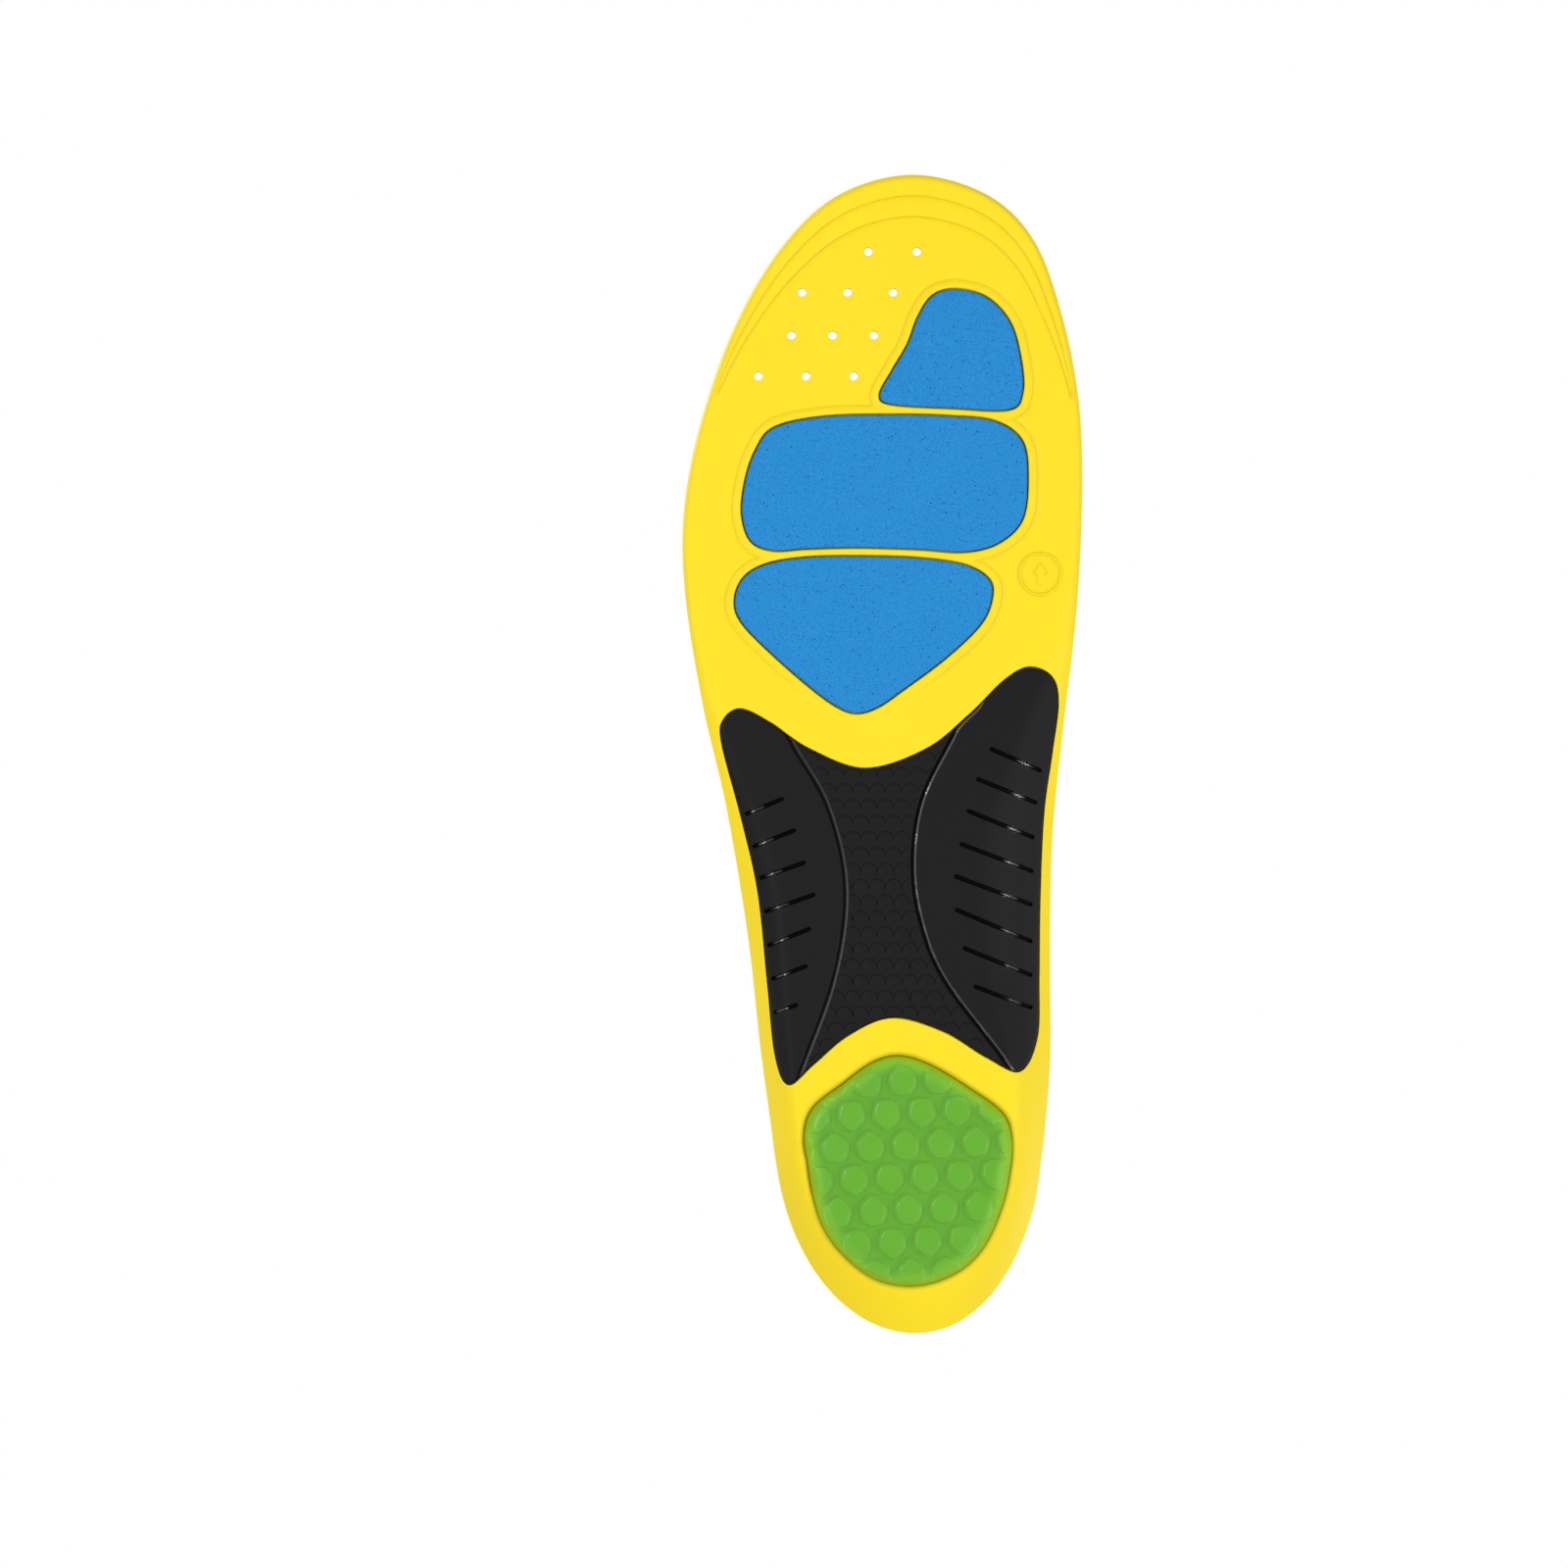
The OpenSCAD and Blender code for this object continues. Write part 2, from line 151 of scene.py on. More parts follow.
def curve(pairs):
    """A smooth curve through pairs of stop and value that never overshoots them."""
    xs, ys = np.array(pairs, float).T
    steps = np.diff(ys) / np.diff(xs)
    slopes = np.concatenate([steps[:1], np.zeros(len(xs) - 2), steps[-1:]])
    same_way = steps[:-1] * steps[1:] > 0
    total = np.where(same_way, steps[:-1] + steps[1:], 1)
    slopes[1:-1] = np.where(same_way, 2 * steps[:-1] * steps[1:] / total, 0)

    def value(at):
        at = np.clip(np.asarray(at, float), xs[0], xs[-1])
        k = np.clip(np.searchsorted(xs, at) - 1, 0, len(xs) - 2)
        width = xs[k + 1] - xs[k]
        t = (at - xs[k]) / width
        u = 1 - t
        return (ys[k] * (1 + 2 * t) * u * u + slopes[k] * width * t * u * u
                + ys[k + 1] * (3 - 2 * t) * t * t - slopes[k + 1] * width * t * t * u)

    value.stops = xs
    return value


# Heights and widths along the length, as y and value
spine_x = curve([[-93, 4.5], [-50, 0], [-10, 0], [40, 4], [93, 5.5]])
floor_rise = curve([[-135, 0.5], [-110, 0.2], [-80, 0.03], [-30, 0], [0, 0.2], [40, 0.7], [80, 1],
                    [135, 1]])
medial_rim = curve([[-40, 0], [-20, 0.12], [-5, 0.38], [10, 0.68], [30, 0.93], [48, 1], [70, 0.82],
                    [95, 0.74], [115, 0.74], [127, 0.62], [135, BACK_RISE / MEDIAL_RISE]])
lateral_rim = curve([[-12, 0], [5, 0.18], [20, 0.49], [35, 0.78], [55, 0.96], [75, 1], [100, 0.9],
                     [122, 0.84], [135, BACK_RISE / LATERAL_RISE]])
medial_wall = curve([[-60, 2], [-30, 5], [0, 14], [30, 20], [55, 20], [80, 12], [105, 9], [120, 12],
                     [135, 15]])
lateral_wall = curve([[-30, 2], [0, 5], [30, 9], [80, 8], [105, 8], [120, 11], [135, 15]])
medial_power = curve([[-60, 3], [-20, 2.2], [20, 2], [55, 2], [80, 1.7], [120, 1.5], [135, 1.3]])
lateral_power = curve([[-30, 3], [0, 2.2], [40, 1.8], [100, 1.6], [135, 1.3]])
medial_cup = curve([[-50, 8], [-20, 22], [20, 30], [55, 30], [80, 20], [105, 17], [135, 18]])
lateral_cup = curve([[-20, 8], [10, 14], [50, 15], [100, 15], [135, 18]])
band_share = curve([[-40, 0], [0, 0.6], [40, 1]])
lift_share = curve([[-9, 0], [8, 0.5], [25, 1]])


# ---------- plan geometry
CHUNK = 2000               # the number of places that are worked on at a time


def smooth_loop(points, steps):
    """A closed Catmull-Rom curve through points."""
    a, b, c, d = [np.roll(np.array(points, float), k, axis=0)[:, None] for k in (1, 0, -1, -2)]
    t = (np.arange(steps) / steps)[None, :, None]
    loop = 0.5 * (2 * b + (c - a) * t + (2 * a - 5 * b + 4 * c - d) * t ** 2
                  + (3 * b - a - 3 * c + d) * t ** 3)
    return loop.reshape(-1, 2)


def beside(line, along, distance):
    out = np.stack([along[:, 1], -along[:, 0]], axis=1)
    return line + distance * out / np.linalg.norm(out, axis=1)[:, None]


def grown(loop, distance):
    """An anticlockwise loop moved outwards."""
    return beside(loop, np.roll(loop, -1, axis=0) - np.roll(loop, 1, axis=0), distance)


def ways(turn):
    """The direction of each turn from +X."""
    return np.stack([np.cos(turn), np.sin(turn)], axis=1)


def circle(centre, radius, count=24):
    return centre + radius * ways(np.arange(count) * 2 * math.pi / count)


def nearest(places, centres):
    """How far each place is from the nearest centre."""
    return np.min([np.linalg.norm(places - c, axis=1) for c in centres], axis=0)


def line_distance(line, places, closed=True):
    """The distance of each place from a line of points."""
    a, b = (line, np.roll(line, -1, axis=0)) if closed else (line[:-1], line[1:])
    ab = b - a
    length2 = np.maximum((ab ** 2).sum(1), 1e-12)
    out = np.empty(len(places))
    for s in range(0, len(places), CHUNK):
        p = places[s:s + CHUNK, None, :]
        t = np.clip(((p - a) * ab).sum(2) / length2, 0, 1)
        out[s:s + CHUNK] = np.sqrt(((a + t[..., None] * ab - p) ** 2).sum(2)).min(1)
    return out


def is_inside(loop, places):
    a, b = loop, np.roll(loop, -1, axis=0)
    out = np.empty(len(places), bool)
    for s in range(0, len(places), CHUNK):
        x, y = places[s:s + CHUNK, 0, None], places[s:s + CHUNK, 1, None]
        crosses = (a[:, 1] > y) != (b[:, 1] > y)
        rise = np.where(b[:, 1] == a[:, 1], 1, b[:, 1] - a[:, 1])
        left = x < a[:, 0] + (y - a[:, 1]) / rise * (b[:, 0] - a[:, 0])
        out[s:s + CHUNK] = (crosses & left).sum(1) % 2 == 1
    return out


def depth_in(loop, places):
    """How far each place is inside a loop, negative outside it."""
    return line_distance(loop, places) * np.where(is_inside(loop, places), 1, -1)


def deepest(loops, places):
    """How far each place is inside any of the loops, negative outside them all."""
    return np.max([depth_in(loop, places) for loop in loops], axis=0)


def groove_share(lines, half_width, places):
    """1 along open lines, and 0 from half_width beside them."""
    away = np.min([line_distance(line, places, False) for line in lines], axis=0)
    return smooth_step(half_width, 0, away)


edge_at_base = smooth_loop(EDGE_PTS, 14)
base_size = edge_at_base.max(0) - edge_at_base.min(0)
SCALE = np.array([cad_high.x - cad_low.x, cad_high.y - cad_low.y]) / MM / base_size


def fitted(points):
    return np.array(points, float) * SCALE


edge = fitted(edge_at_base)
N_EDGE = len(edge)
y_edge = edge[:, 1] / SCALE[1]
medial = np.arange(N_EDGE) <= N_EDGE // 2
*pad_loops, gel_loop, shell_loop, heel_print = [
    smooth_loop(fitted(points), 10)
    for points in (TOE_PTS, BALL_PTS, META_PTS, GEL_PTS, SHELL_PTS, HEEL_PRINT_PTS)]
vents = fitted([[x + k * pitch, y] for y, x, pitch, count in VENT_ROWS for k in range(count)])
slits = fitted(np.reshape(SLITS, (-1, 2, 2)))


# ---------- the moulded surfaces
def floor_z(y):
    return BALL_T + floor_rise(y / SCALE[1]) * np.where(y < 0, TOE_SPRING, HEEL_FLOOR - BALL_T)


def sole_z(y):
    toe = TOE_SPRING * (np.maximum(SPRING_FROM - y / SCALE[1], 0) / SPRING_RUN) ** 2
    return toe + HEEL_LIFT * lift_share(y / SCALE[1])


def by_side(medial_values, lateral_values):
    return np.where(medial, medial_values, lateral_values)


spine = np.stack([spine_x(y_edge * SPINE_K) * SCALE[0], edge[:, 1] * SPINE_K], axis=1)
reach = np.linalg.norm(spine - edge, axis=1)
inward = (spine - edge) / reach[:, None]
rim_z = floor_z(edge[:, 1]) + by_side(medial_rim(y_edge) * MEDIAL_RISE,
                                      lateral_rim(y_edge) * LATERAL_RISE)
wall_w = by_side(medial_wall(y_edge), lateral_wall(y_edge))
wall_q = by_side(medial_power(y_edge), lateral_power(y_edge))
cup_w = np.minimum(by_side(medial_cup(y_edge), lateral_cup(y_edge)), CUP_REACH * reach)
band = TOE_BAND + band_share(y_edge) * (CUP_BAND - TOE_BAND)


def with_z(plan, z):
    return np.column_stack([plan, np.broadcast_to(z, len(plan))])


def outer_ring(inset, t=0.0):
    """The underside's points at an inset from the edge, moved t into the foam."""
    plan = edge + inward * inset[:, None]
    base = sole_z(plan[:, 1])
    height = rim_z - band - base
    x = np.maximum(0, 1 - inset / wall_w)
    slope = wall_q * height / wall_w * x ** (wall_q - 1)
    k = np.sqrt(1 + slope ** 2)
    moved = plan + (inward.T * t * slope / k).T
    return with_z(moved, base + height * x ** wall_q + t / k)


def top_ring(inset):
    """The foam's top points at an inset from the edge."""
    plan = edge + inward * inset[:, None]
    base = floor_z(plan[:, 1])
    return with_z(plan, base + (rim_z - base) * np.maximum(0, 1 - inset / cup_w) ** 2)


def insets(near, count):
    """Insets from the edge to the foot of a wall, and on to the spine."""
    on = [near + (reach - near) * share for share in np.linspace(0.2, 1, 5)]
    return [near * share for share in np.linspace(0, 1, count)] + on


def ring_quads(rings):
    """The corners of the faces between closed rings, which have as many points each."""
    n = len(rings[0])
    i = np.arange(n)
    j = (i + 1) % n
    return np.concatenate([np.stack([i, j, j + n, i + n], 1) + r * n for r in range(len(rings) - 1)])


class Skin:
    """A surface of rings that tells its height over any place of the plan."""

    def __init__(self, rings):
        self.points = np.concatenate(rings)
        quads = ring_quads(rings)
        self.corners = np.concatenate([quads[:, [0, 1, 2]], quads[:, [0, 2, 3]]])
        flat = [(x, y, 0) for x, y, _ in self.points]
        self.tree = BVHTree.FromPolygons(flat, self.corners.tolist())

    def z(self, places):
        """The heights over places, or over the surface's edge near them."""
        found = [self.tree.find_nearest((x, y, 0)) for x, y in places]
        at = np.array([f[0][:2] for f in found])
        a, b, c = [self.points[self.corners[[f[2] for f in found], k]] for k in range(3)]
        way = np.cross(b - a, c - a)
        up = np.where(np.abs(way[:, 2]) < 1e-12, 1e-12, way[:, 2])
        return a[:, 2] - ((at - a[:, :2]) * way[:, :2]).sum(1) / up


WALL_RINGS = 17
CUP_RINGS = 13
outer_skin = Skin([outer_ring(d) for d in insets(wall_w, WALL_RINGS)])
shell_skin = Skin([outer_ring(d, SHELL_T) for d in insets(wall_w, WALL_RINGS)])
top_skin = Skin([top_ring(d) for d in insets(cup_w, CUP_RINGS)])


# ---------- meshes over the plan
ROW_SHARE = 0.87           # how far rows of fill points are apart, as a share of their spacing
ON_LINE = 0.02             # an edge whose middle is this near to a loop lies on it


def staggered(low, high, pitch, row):
    """Places in rows, with every second row half a pitch along."""
    rows = np.arange(low[1], high[1], row)
    return np.array([(x + (k % 2) * pitch / 2, y) for k, y in enumerate(rows)
                     for x in np.arange(low[0], high[0], pitch)])


def fill_points(loop, spacing, clear_of, clearance):
    """Points in rows inside a loop, away from the lines given."""
    points = staggered(loop.min(0), loop.max(0), spacing, spacing * ROW_SHARE)
    points = points[is_inside(loop, points)]
    for line in clear_of:
        points = points[line_distance(line, points) > clearance]
    return points


def plan_mesh(outer, loops, lines=(), points=(), holes=()):
    """Triangles inside a loop and outside its holes that follow every loop and open line."""
    coords, links = [], []
    for line, closed in [(l, True) for l in loops] + [(l, False) for l in lines]:
        first = len(coords)
        coords += [Vector(p) for p in line]
        links += [(first + i, first + i + 1) for i in range(len(line) - 1)]
        if closed:
            links.append((first + len(line) - 1, first))
    coords += [Vector(p) for p in points]
    found = delaunay_2d_cdt(coords, links, [], 0, 1e-4, False)
    places, faces = np.array([tuple(v) for v in found[0]]), np.array(found[2])
    centres = places[faces].mean(1)
    cut = np.any([is_inside(hole, centres) for hole in holes], axis=0)
    faces = faces[is_inside(outer, centres) & ~cut]
    used, faces = np.unique(faces, return_inverse=True)
    return places[used], faces.reshape(-1, 3)


def outline_edges(faces):
    """The edges that only one triangle has, in that triangle's direction."""
    pairs = np.concatenate([faces[:, [0, 1]], faces[:, [1, 2]], faces[:, [2, 0]]])
    _, where, counts = np.unique(np.sort(pairs, axis=1), axis=0, return_index=True,
                                 return_counts=True)
    return pairs[where[counts == 1]]


class Build:
    """Collects sheets of triangles and the walls between them into one piece."""

    def __init__(self):
        self.verts, self.faces, self.marks = [], [], []
        self.count = 0

    def add(self, points, faces, mark=0):
        self.verts.append(points)
        self.faces += (np.array(faces) + self.count).tolist()
        self.marks += [mark] * len(faces)
        self.count += len(points)

    def wall(self, points, edges, z_values, mark=0):
        """Faces from an outline up or down to other heights over the same places."""
        far = points.copy()
        far[:, 2] = z_values
        n = len(points)
        quads = [[a, b, b + n, a + n] for a, b in edges]
        used, index = np.unique(np.array(quads), return_inverse=True)
        self.add(np.concatenate([points, far])[used], index.reshape(-1, 4), mark)

    def slab(self, places, faces, near, far, mark=0):
        """A layer between two heights over the same places, with the mark on its wall."""
        self.add(with_z(places, near), faces)
        self.wall(with_z(places, near), outline_edges(faces), far, mark)
        self.add(with_z(places, far), faces[:, ::-1])

    def recess(self, under, borders, loop, roof_z, points=()):
        """The wall of a recess round a loop, and its roof at the height roof_z(places)."""
        at = line_distance(loop, under[borders, :2].mean(1)) < ON_LINE
        self.wall(under, borders[at], roof_z(under[:, :2]))
        roof, faces = plan_mesh(loop, [loop], points=points)
        self.add(with_z(roof, roof_z(roof)), faces)

    def piece(self, name, materials, sharp, node, slot):
        """The finished object, which rides on the insole and stands for its CAD node."""
        mesh = bpy.data.meshes.new(name)
        mesh.from_pydata((np.concatenate(self.verts) * MM).tolist(), [], self.faces)
        for material in materials:
            mesh.materials.append(material)
        mesh.polygons.foreach_set("material_index", self.marks)
        work = bmesh.new()
        work.from_mesh(mesh)
        bmesh.ops.remove_doubles(work, verts=work.verts, dist=WELD)
        bmesh.ops.dissolve_degenerate(work, edges=work.edges, dist=WELD)
        bmesh.ops.recalc_face_normals(work, faces=work.faces)
        work.to_mesh(mesh)
        work.free()
        mesh.shade_smooth()
        mesh.set_sharp_from_angle(angle=math.radians(sharp))
        piece = bpy.data.objects.new(name, mesh)
        bpy.context.scene.collection.objects.link(piece)
        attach(piece, "root")
        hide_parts(node)
        return piece


def vertices_of(piece):
    """The piece's vertices in millimetres."""
    co = np.empty(len(piece.data.vertices) * 3)
    piece.data.vertices.foreach_get("co", co)
    return co.reshape(-1, 3) / MM


def store(piece, name, values):
    """Keeps one number per vertex for the material to read."""
    attribute = piece.data.attributes.new(name, "FLOAT", "POINT")
    attribute.data.foreach_set("value", np.asarray(values, np.float32))


def edge_rings(depths):
    """Insets of the outer edge, as loops in the plan."""
    return [edge + (inward.T * d).T for d in depths]


def loop_family(loop, distances):
    return [grown(loop, d) if d else loop for d in distances]


def smooth_step(low, high, value):
    """0 to 1 as a value goes from low to high, which may be the lower one."""
    t = np.clip((value - low) / (high - low), 0, 1)
    return t * t * (3 - 2 * t)


# ---------- foam base
LAND_RISE = 0.32           # the forefoot land lies this far above the lips round the pads
LIP_STOPS = (0, 0.12, 0.3, 0.55, 1.1, 1.7, 1.95, 2.1, 2.3)
lip_round = curve([[0, 0.4], [0.12, 0.17], [0.3, 0.04], [0.55, 0]])
lip_land = curve([[0.55, 0], [1.1, 0.3], [1.95, 1], [2.3, 1]])
lip_crease = curve([[1.7, 0], [1.95, 1], [2.1, 1], [2.3, 0]])
gel_round = curve([[0, 0.9], [0.2, 0.6], [0.5, 0.28], [0.9, 0.07], [1.4, 0]])
shell_round = curve([[0, 0.22], [0.08, 0.1], [0.2, 0.03], [0.4, 0]])
TRIM_TIPS = (4.9, 9.8)     # how far the trim lines are from the toe tip
TRIM_END = -84
CREASE_DEPTH = 0.13
TRIM_DEPTH = 0.2
TRIM_W = 0.35
SIZE_RING = (36.6, -42.0)
RING_R = 4.8
RING_W = 0.42
MARK_H = 0.3
VENT_ROUND = 0.3           # the rounded rim of a vent, and how far it drops
VENT_DROP = 0.12
PARTING_GROOVE = ((0, 0), (0.16, 0.1), (0.16, 0.22), (0, 0.34))     # depth and height of its points
ARROW = [[0, -2.7], [2.3, 0.1], [0.9, 0.1], [0.9, 2.5], [-0.9, 2.5], [-0.9, 0.1], [-2.3, 0.1]]


def trim_line(tip):
    """A size trim line round the toe, which nears the edge towards its ends."""
    front = np.flatnonzero(y_edge < TRIM_END)
    front = np.concatenate([front[front > N_EDGE // 2], front[front <= N_EDGE // 2]])
    near = 0.9 + 0.12 * tip
    share = ((TRIM_END - y_edge[front]) / (TRIM_END - y_edge.min())) ** 1.15
    return edge[front] + inward[front] * (near + (tip - near) * share)[:, None]


trim_lines = [trim_line(tip) for tip in TRIM_TIPS]
ring_centre = fitted(SIZE_RING)
arrow_loop = ring_centre + np.array(ARROW)


def land_share(places):
    """1 on the forefoot's land, 0 at the edge and at the arch."""
    from_edge = line_distance(edge, places)
    return smooth_step(0.6, 3.2, from_edge) * smooth_step(-9, -22, places[:, 1])


def land_height(places):
    """The underside's height over each place outside the recesses."""
    pad_far, land = -deepest(pad_loops, places), land_share(places)
    z = outer_skin.z(places) + LAND_RISE * land * lip_land(pad_far) + lip_round(pad_far)
    z += CREASE_DEPTH * land * lip_crease(pad_far)
    z += TRIM_DEPTH * groove_share(trim_lines, TRIM_W, places)
    z += gel_round(-depth_in(grown(gel_loop, GEL_GAP), places))
    z += shell_round(-depth_in(shell_loop, places))
    ring_far = np.abs(nearest(places, [ring_centre]) - RING_R)
    z -= MARK_H * smooth_step(RING_W, RING_W * 0.3, ring_far)
    z -= MARK_H * smooth_step(0, 0.35, depth_in(arrow_loop, places))
    return z


def vent_rings(radius, edges=(0,)):
    return [circle(v, radius + e) for v in vents for e in edges]


def make_foam_base(materials):
    build = Build()
    gel_recess = grown(gel_loop, GEL_GAP)
    recess_loops = pad_loops + [gel_recess, shell_loop]
    holes = vent_rings(VENT_D / 2)
    loops = [edge] + edge_rings([wall_w * s for s in (0.06, 0.14, 0.25, 0.38, 0.52, 0.68, 0.84, 1)])
    loops += [l for p in pad_loops for l in loop_family(p, LIP_STOPS)]
    loops += loop_family(gel_recess, gel_round.stops) + loop_family(shell_loop, shell_round.stops)
    loops += vent_rings(VENT_D / 2, (0, VENT_ROUND))
    loops += [circle(ring_centre, RING_R + k * RING_W, 48) for k in (-1, -0.3, 0.3, 1)]
    loops += [arrow_loop, grown(arrow_loop, -0.35)]
    lines = [beside(line, np.gradient(line, axis=0), d) for line in trim_lines
             for d in (-TRIM_W, 0, TRIM_W)]
    fill = fill_points(edge, 2.6, [edge, *recess_loops], 1.6)
    places, faces = plan_mesh(edge, loops, lines, fill, recess_loops + holes)
    from_vent = nearest(places, vents) - VENT_D / 2
    rounded = VENT_DROP * smooth_step(VENT_ROUND, 0, from_vent)
    under = with_z(places, land_height(places) + rounded)
    build.add(under, faces)

    borders = outline_edges(faces)
    for loop in pad_loops:
        build.recess(under, borders, loop, lambda at: PAD_TOP + TAPE_T)
    build.recess(under, borders, gel_recess, lambda at: GEL_TOP + TAPE_T)
    build.recess(under, borders, shell_loop, shell_skin.z,
                 fill_points(shell_loop, 3, [shell_loop], 1.5))
    middles = places[borders].mean(1)
    at_vent = nearest(middles, vents) - VENT_D / 2 < ON_LINE
    build.wall(under, borders[at_vent], top_skin.z(places))

    rings = [with_z(edge + inward * d, rim_z - band + up) for d, up in PARTING_GROOVE]
    rings += [with_z(edge, rim_z - (band - PARTING_GROOVE[-1][1]) * s) for s in (0.5, 0)]
    build.add(np.concatenate(rings), ring_quads(rings))
    top_loops = [edge] + edge_rings([cup_w * s for s in (0.1, 0.3, 0.6, 1)]) + holes
    tops, top_faces = plan_mesh(edge, top_loops, (), fill_points(edge, 5, [edge], 2), holes)
    build.add(with_z(tops, top_skin.z(tops)), top_faces)
    piece = build.piece("foam_base_moulding", materials, 38, "foam_base", "base_foam")
    co = vertices_of(piece)
    at = co[:, :2]
    # Painted shade: the lip creases round the pads and the trim grooves on the underside are marked here
    # to be drawn darker.
    crease_shades = lip_crease(-deepest(pad_loops, at)) * land_share(at)
    crease_shades = np.maximum(groove_share(trim_lines, TRIM_W, at), crease_shades)
    store(piece, "crease_shade", crease_shades * (co[:, 2] < top_skin.z(at) - 0.5))
    # Painted shade: a band round the gel's recess, drawn darker mustard in place of the recess wall's
    # shade.
    store(piece, "gel_ring_shade", smooth_step(-1.3, -0.2, depth_in(gel_recess, at)))


# ---------- cover and film
VENT_COVER_R = 1.35
VENT_FILM_R = 1.15
EDGE_ROUND = 0.3
PRINT_SHIFTS = ((0.8, -5.6), (1.2, -4.0), (1.5, -0.8))
PRINT_STOPS = (-1.0, -0.37, 0, 0.37, 1.0)
print_loops = [grown(loop, out) + np.array([0, down])
               for loop, (out, down) in zip(pad_loops, PRINT_SHIFTS)]
edge_drop = curve([[0, EDGE_ROUND], [0.1, 0.14], [0.25, 0.04], [0.5, 0]])


def make_sheet_piece(name, lift, thick, vent_r, rounding, features, materials, node, slot):
    """A layer that lies on the foam's top, from lift above it, trimmed flush with its edge."""
    build = Build()
    loops = [edge] + edge_rings(edge_drop.stops[1:]) + features
    loops += edge_rings([cup_w * s for s in (0.1, 0.2, 0.32, 0.46, 0.62, 0.8, 1)])
    loops += vent_rings(vent_r, (0, 0.25, 0.6))
    fill = fill_points(edge, 2.6, [edge], 1.4)
    places, faces = plan_mesh(edge, loops, (), fill, vent_rings(vent_r))
    base = top_skin.z(places) + lift
    at_vent = smooth_step(0.6, 0, nearest(places, vents) - vent_r)
    drop = rounding * (edge_drop(line_distance(edge, places)) + 0.25 * at_vent)
    build.slab(places, faces, base + thick - drop, base, 1)
    piece = build.piece(name, materials, 40, node, slot)
    return piece


def make_cover(materials):
    features = [l for p in print_loops for l in loop_family(p, PRINT_STOPS)]
    features += loop_family(heel_print, (-0.5, 0, 0.5))
    piece = make_sheet_piece("printed_knit_cover", FILM_T, COVER_T, VENT_COVER_R, 1, features,
                             materials, "top_cover", "cover_knit")
    at = vertices_of(piece)[:, :2]
    for name, loop in zip(("toe", "ball", "meta", "heel"), print_loops + [heel_print]):
        store(piece, "print_" + name, np.clip(depth_in(loop, at), -3, 3))
    store(piece, "from_vent", np.clip(nearest(at, vents) - VENT_COVER_R, 0, 3))


def make_film(materials):
    make_sheet_piece("barrier_film_layer", 0, FILM_T, VENT_FILM_R, 0, [], materials,
                     "barrier_film", "film")


# ---------- forefoot pads
PAD_LIFT = 0.04
pad_round = curve([[0, 0.45], [0.1, 0.2], [0.25, 0.06], [0.5, 0]])


def make_pad(name, loop, node, materials):
    """A foam pad in its recess, with eased edges."""
    build = Build()
    outline = grown(loop, -PAD_GAP)
    inner = fill_points(outline, 2.2, [outline], 1.2)
    places, faces = plan_mesh(outline, loop_family(outline, -pad_round.stops), (), inner)
    rounded = PAD_LIFT + pad_round(line_distance(outline, places))
    build.slab(places, faces, outer_skin.z(places) + rounded, PAD_TOP)
    build.piece(name, materials, 50, node, "pad_foam")


# ---------- arch shell
SCALE_PITCH = 3.8
SCALE_ROW = 3.7
SCALE_R = 1.8
SCALE_SPREAD = math.radians(80)
SCALE_FIELD = ((-26, -10), (34, 78))    # the corners of the field that the scales are laid over
SCALE_GROOVE = 0.06        # depth and half width of the scales' outlines
SCALE_GROOVE_W = 0.17
SLIT_DEPTH = 0.9
SLIT_STEPS = 13
shell_edge = curve([[0, 0.35], [0.12, 0.15], [0.3, 0.04], [0.6, 0]])
step_profile = curve([[-0.9, 0], [-0.6, 0.05], [-0.4, 0.18], [-0.2, 0.75], [0.1, 0.85],
                      [0.3, 0.52], [0.5, 0.4], [1, STEP_T]])
STEP_LOOPS = (0.9, 0.6, 0.4, 0.2, -0.1, -0.3, -0.5, -1)
slit_profile = curve([[-0.08, 0], [0.04, 0.4], [0.14, 0.78], [0.28, 0.96], [0.45, 1]])
SLIT_LOOPS = (0.08, -0.04, -0.14, -0.28)
GLINT_AT = 0.7             # the slits are polished round this share of their length
GLINT_R = 1.6
LATERAL_LIP = 0.3          # the lateral step's lip is duller than the medial one's


def slit_loop(slit, out=0.0):
    """The rounded outline of a flex slit, grown by out."""
    a, b = slit
    turn = math.atan2(b[1] - a[1], b[0] - a[0]) + np.linspace(-math.pi / 2, math.pi / 2, 7)
    cap = (SLIT_W / 2 + out) * ways(turn)
    run = np.linspace(0, 1, SLIT_STEPS)[1:-1, None] * (b - a)
    return np.concatenate([a + cap[0] + run, b + cap, b - cap[0] - run, a - cap])


def glint_share(places):
    """1 in the polished stretch of each slit, towards its outer end."""
    middles = (1 - GLINT_AT) * slits[:, 0] + GLINT_AT * slits[:, 1]
    return smooth_step(GLINT_R + 0.2, GLINT_R - 0.4, nearest(places, middles))


def scale_arcs(region):
    """The grooves round the toe side of the scales that fit in a region."""
    way = ways(np.linspace(-SCALE_SPREAD, SCALE_SPREAD, 15) - math.pi / 2)
    lines = []
    for centre in staggered(*SCALE_FIELD, SCALE_PITCH, SCALE_ROW):
        arc = centre + SCALE_R * way
        clear = (depth_in(region, arc) > 0.7) & (depth_in(shell_loop, arc) > 1)
        if clear.sum() > 3:
            part = way[np.flatnonzero(clear)[0]:np.flatnonzero(clear)[-1] + 1]
            lines += [centre + (SCALE_R + k * SCALE_GROOVE_W) * part for k in (-1, 0, 1)]
    return lines


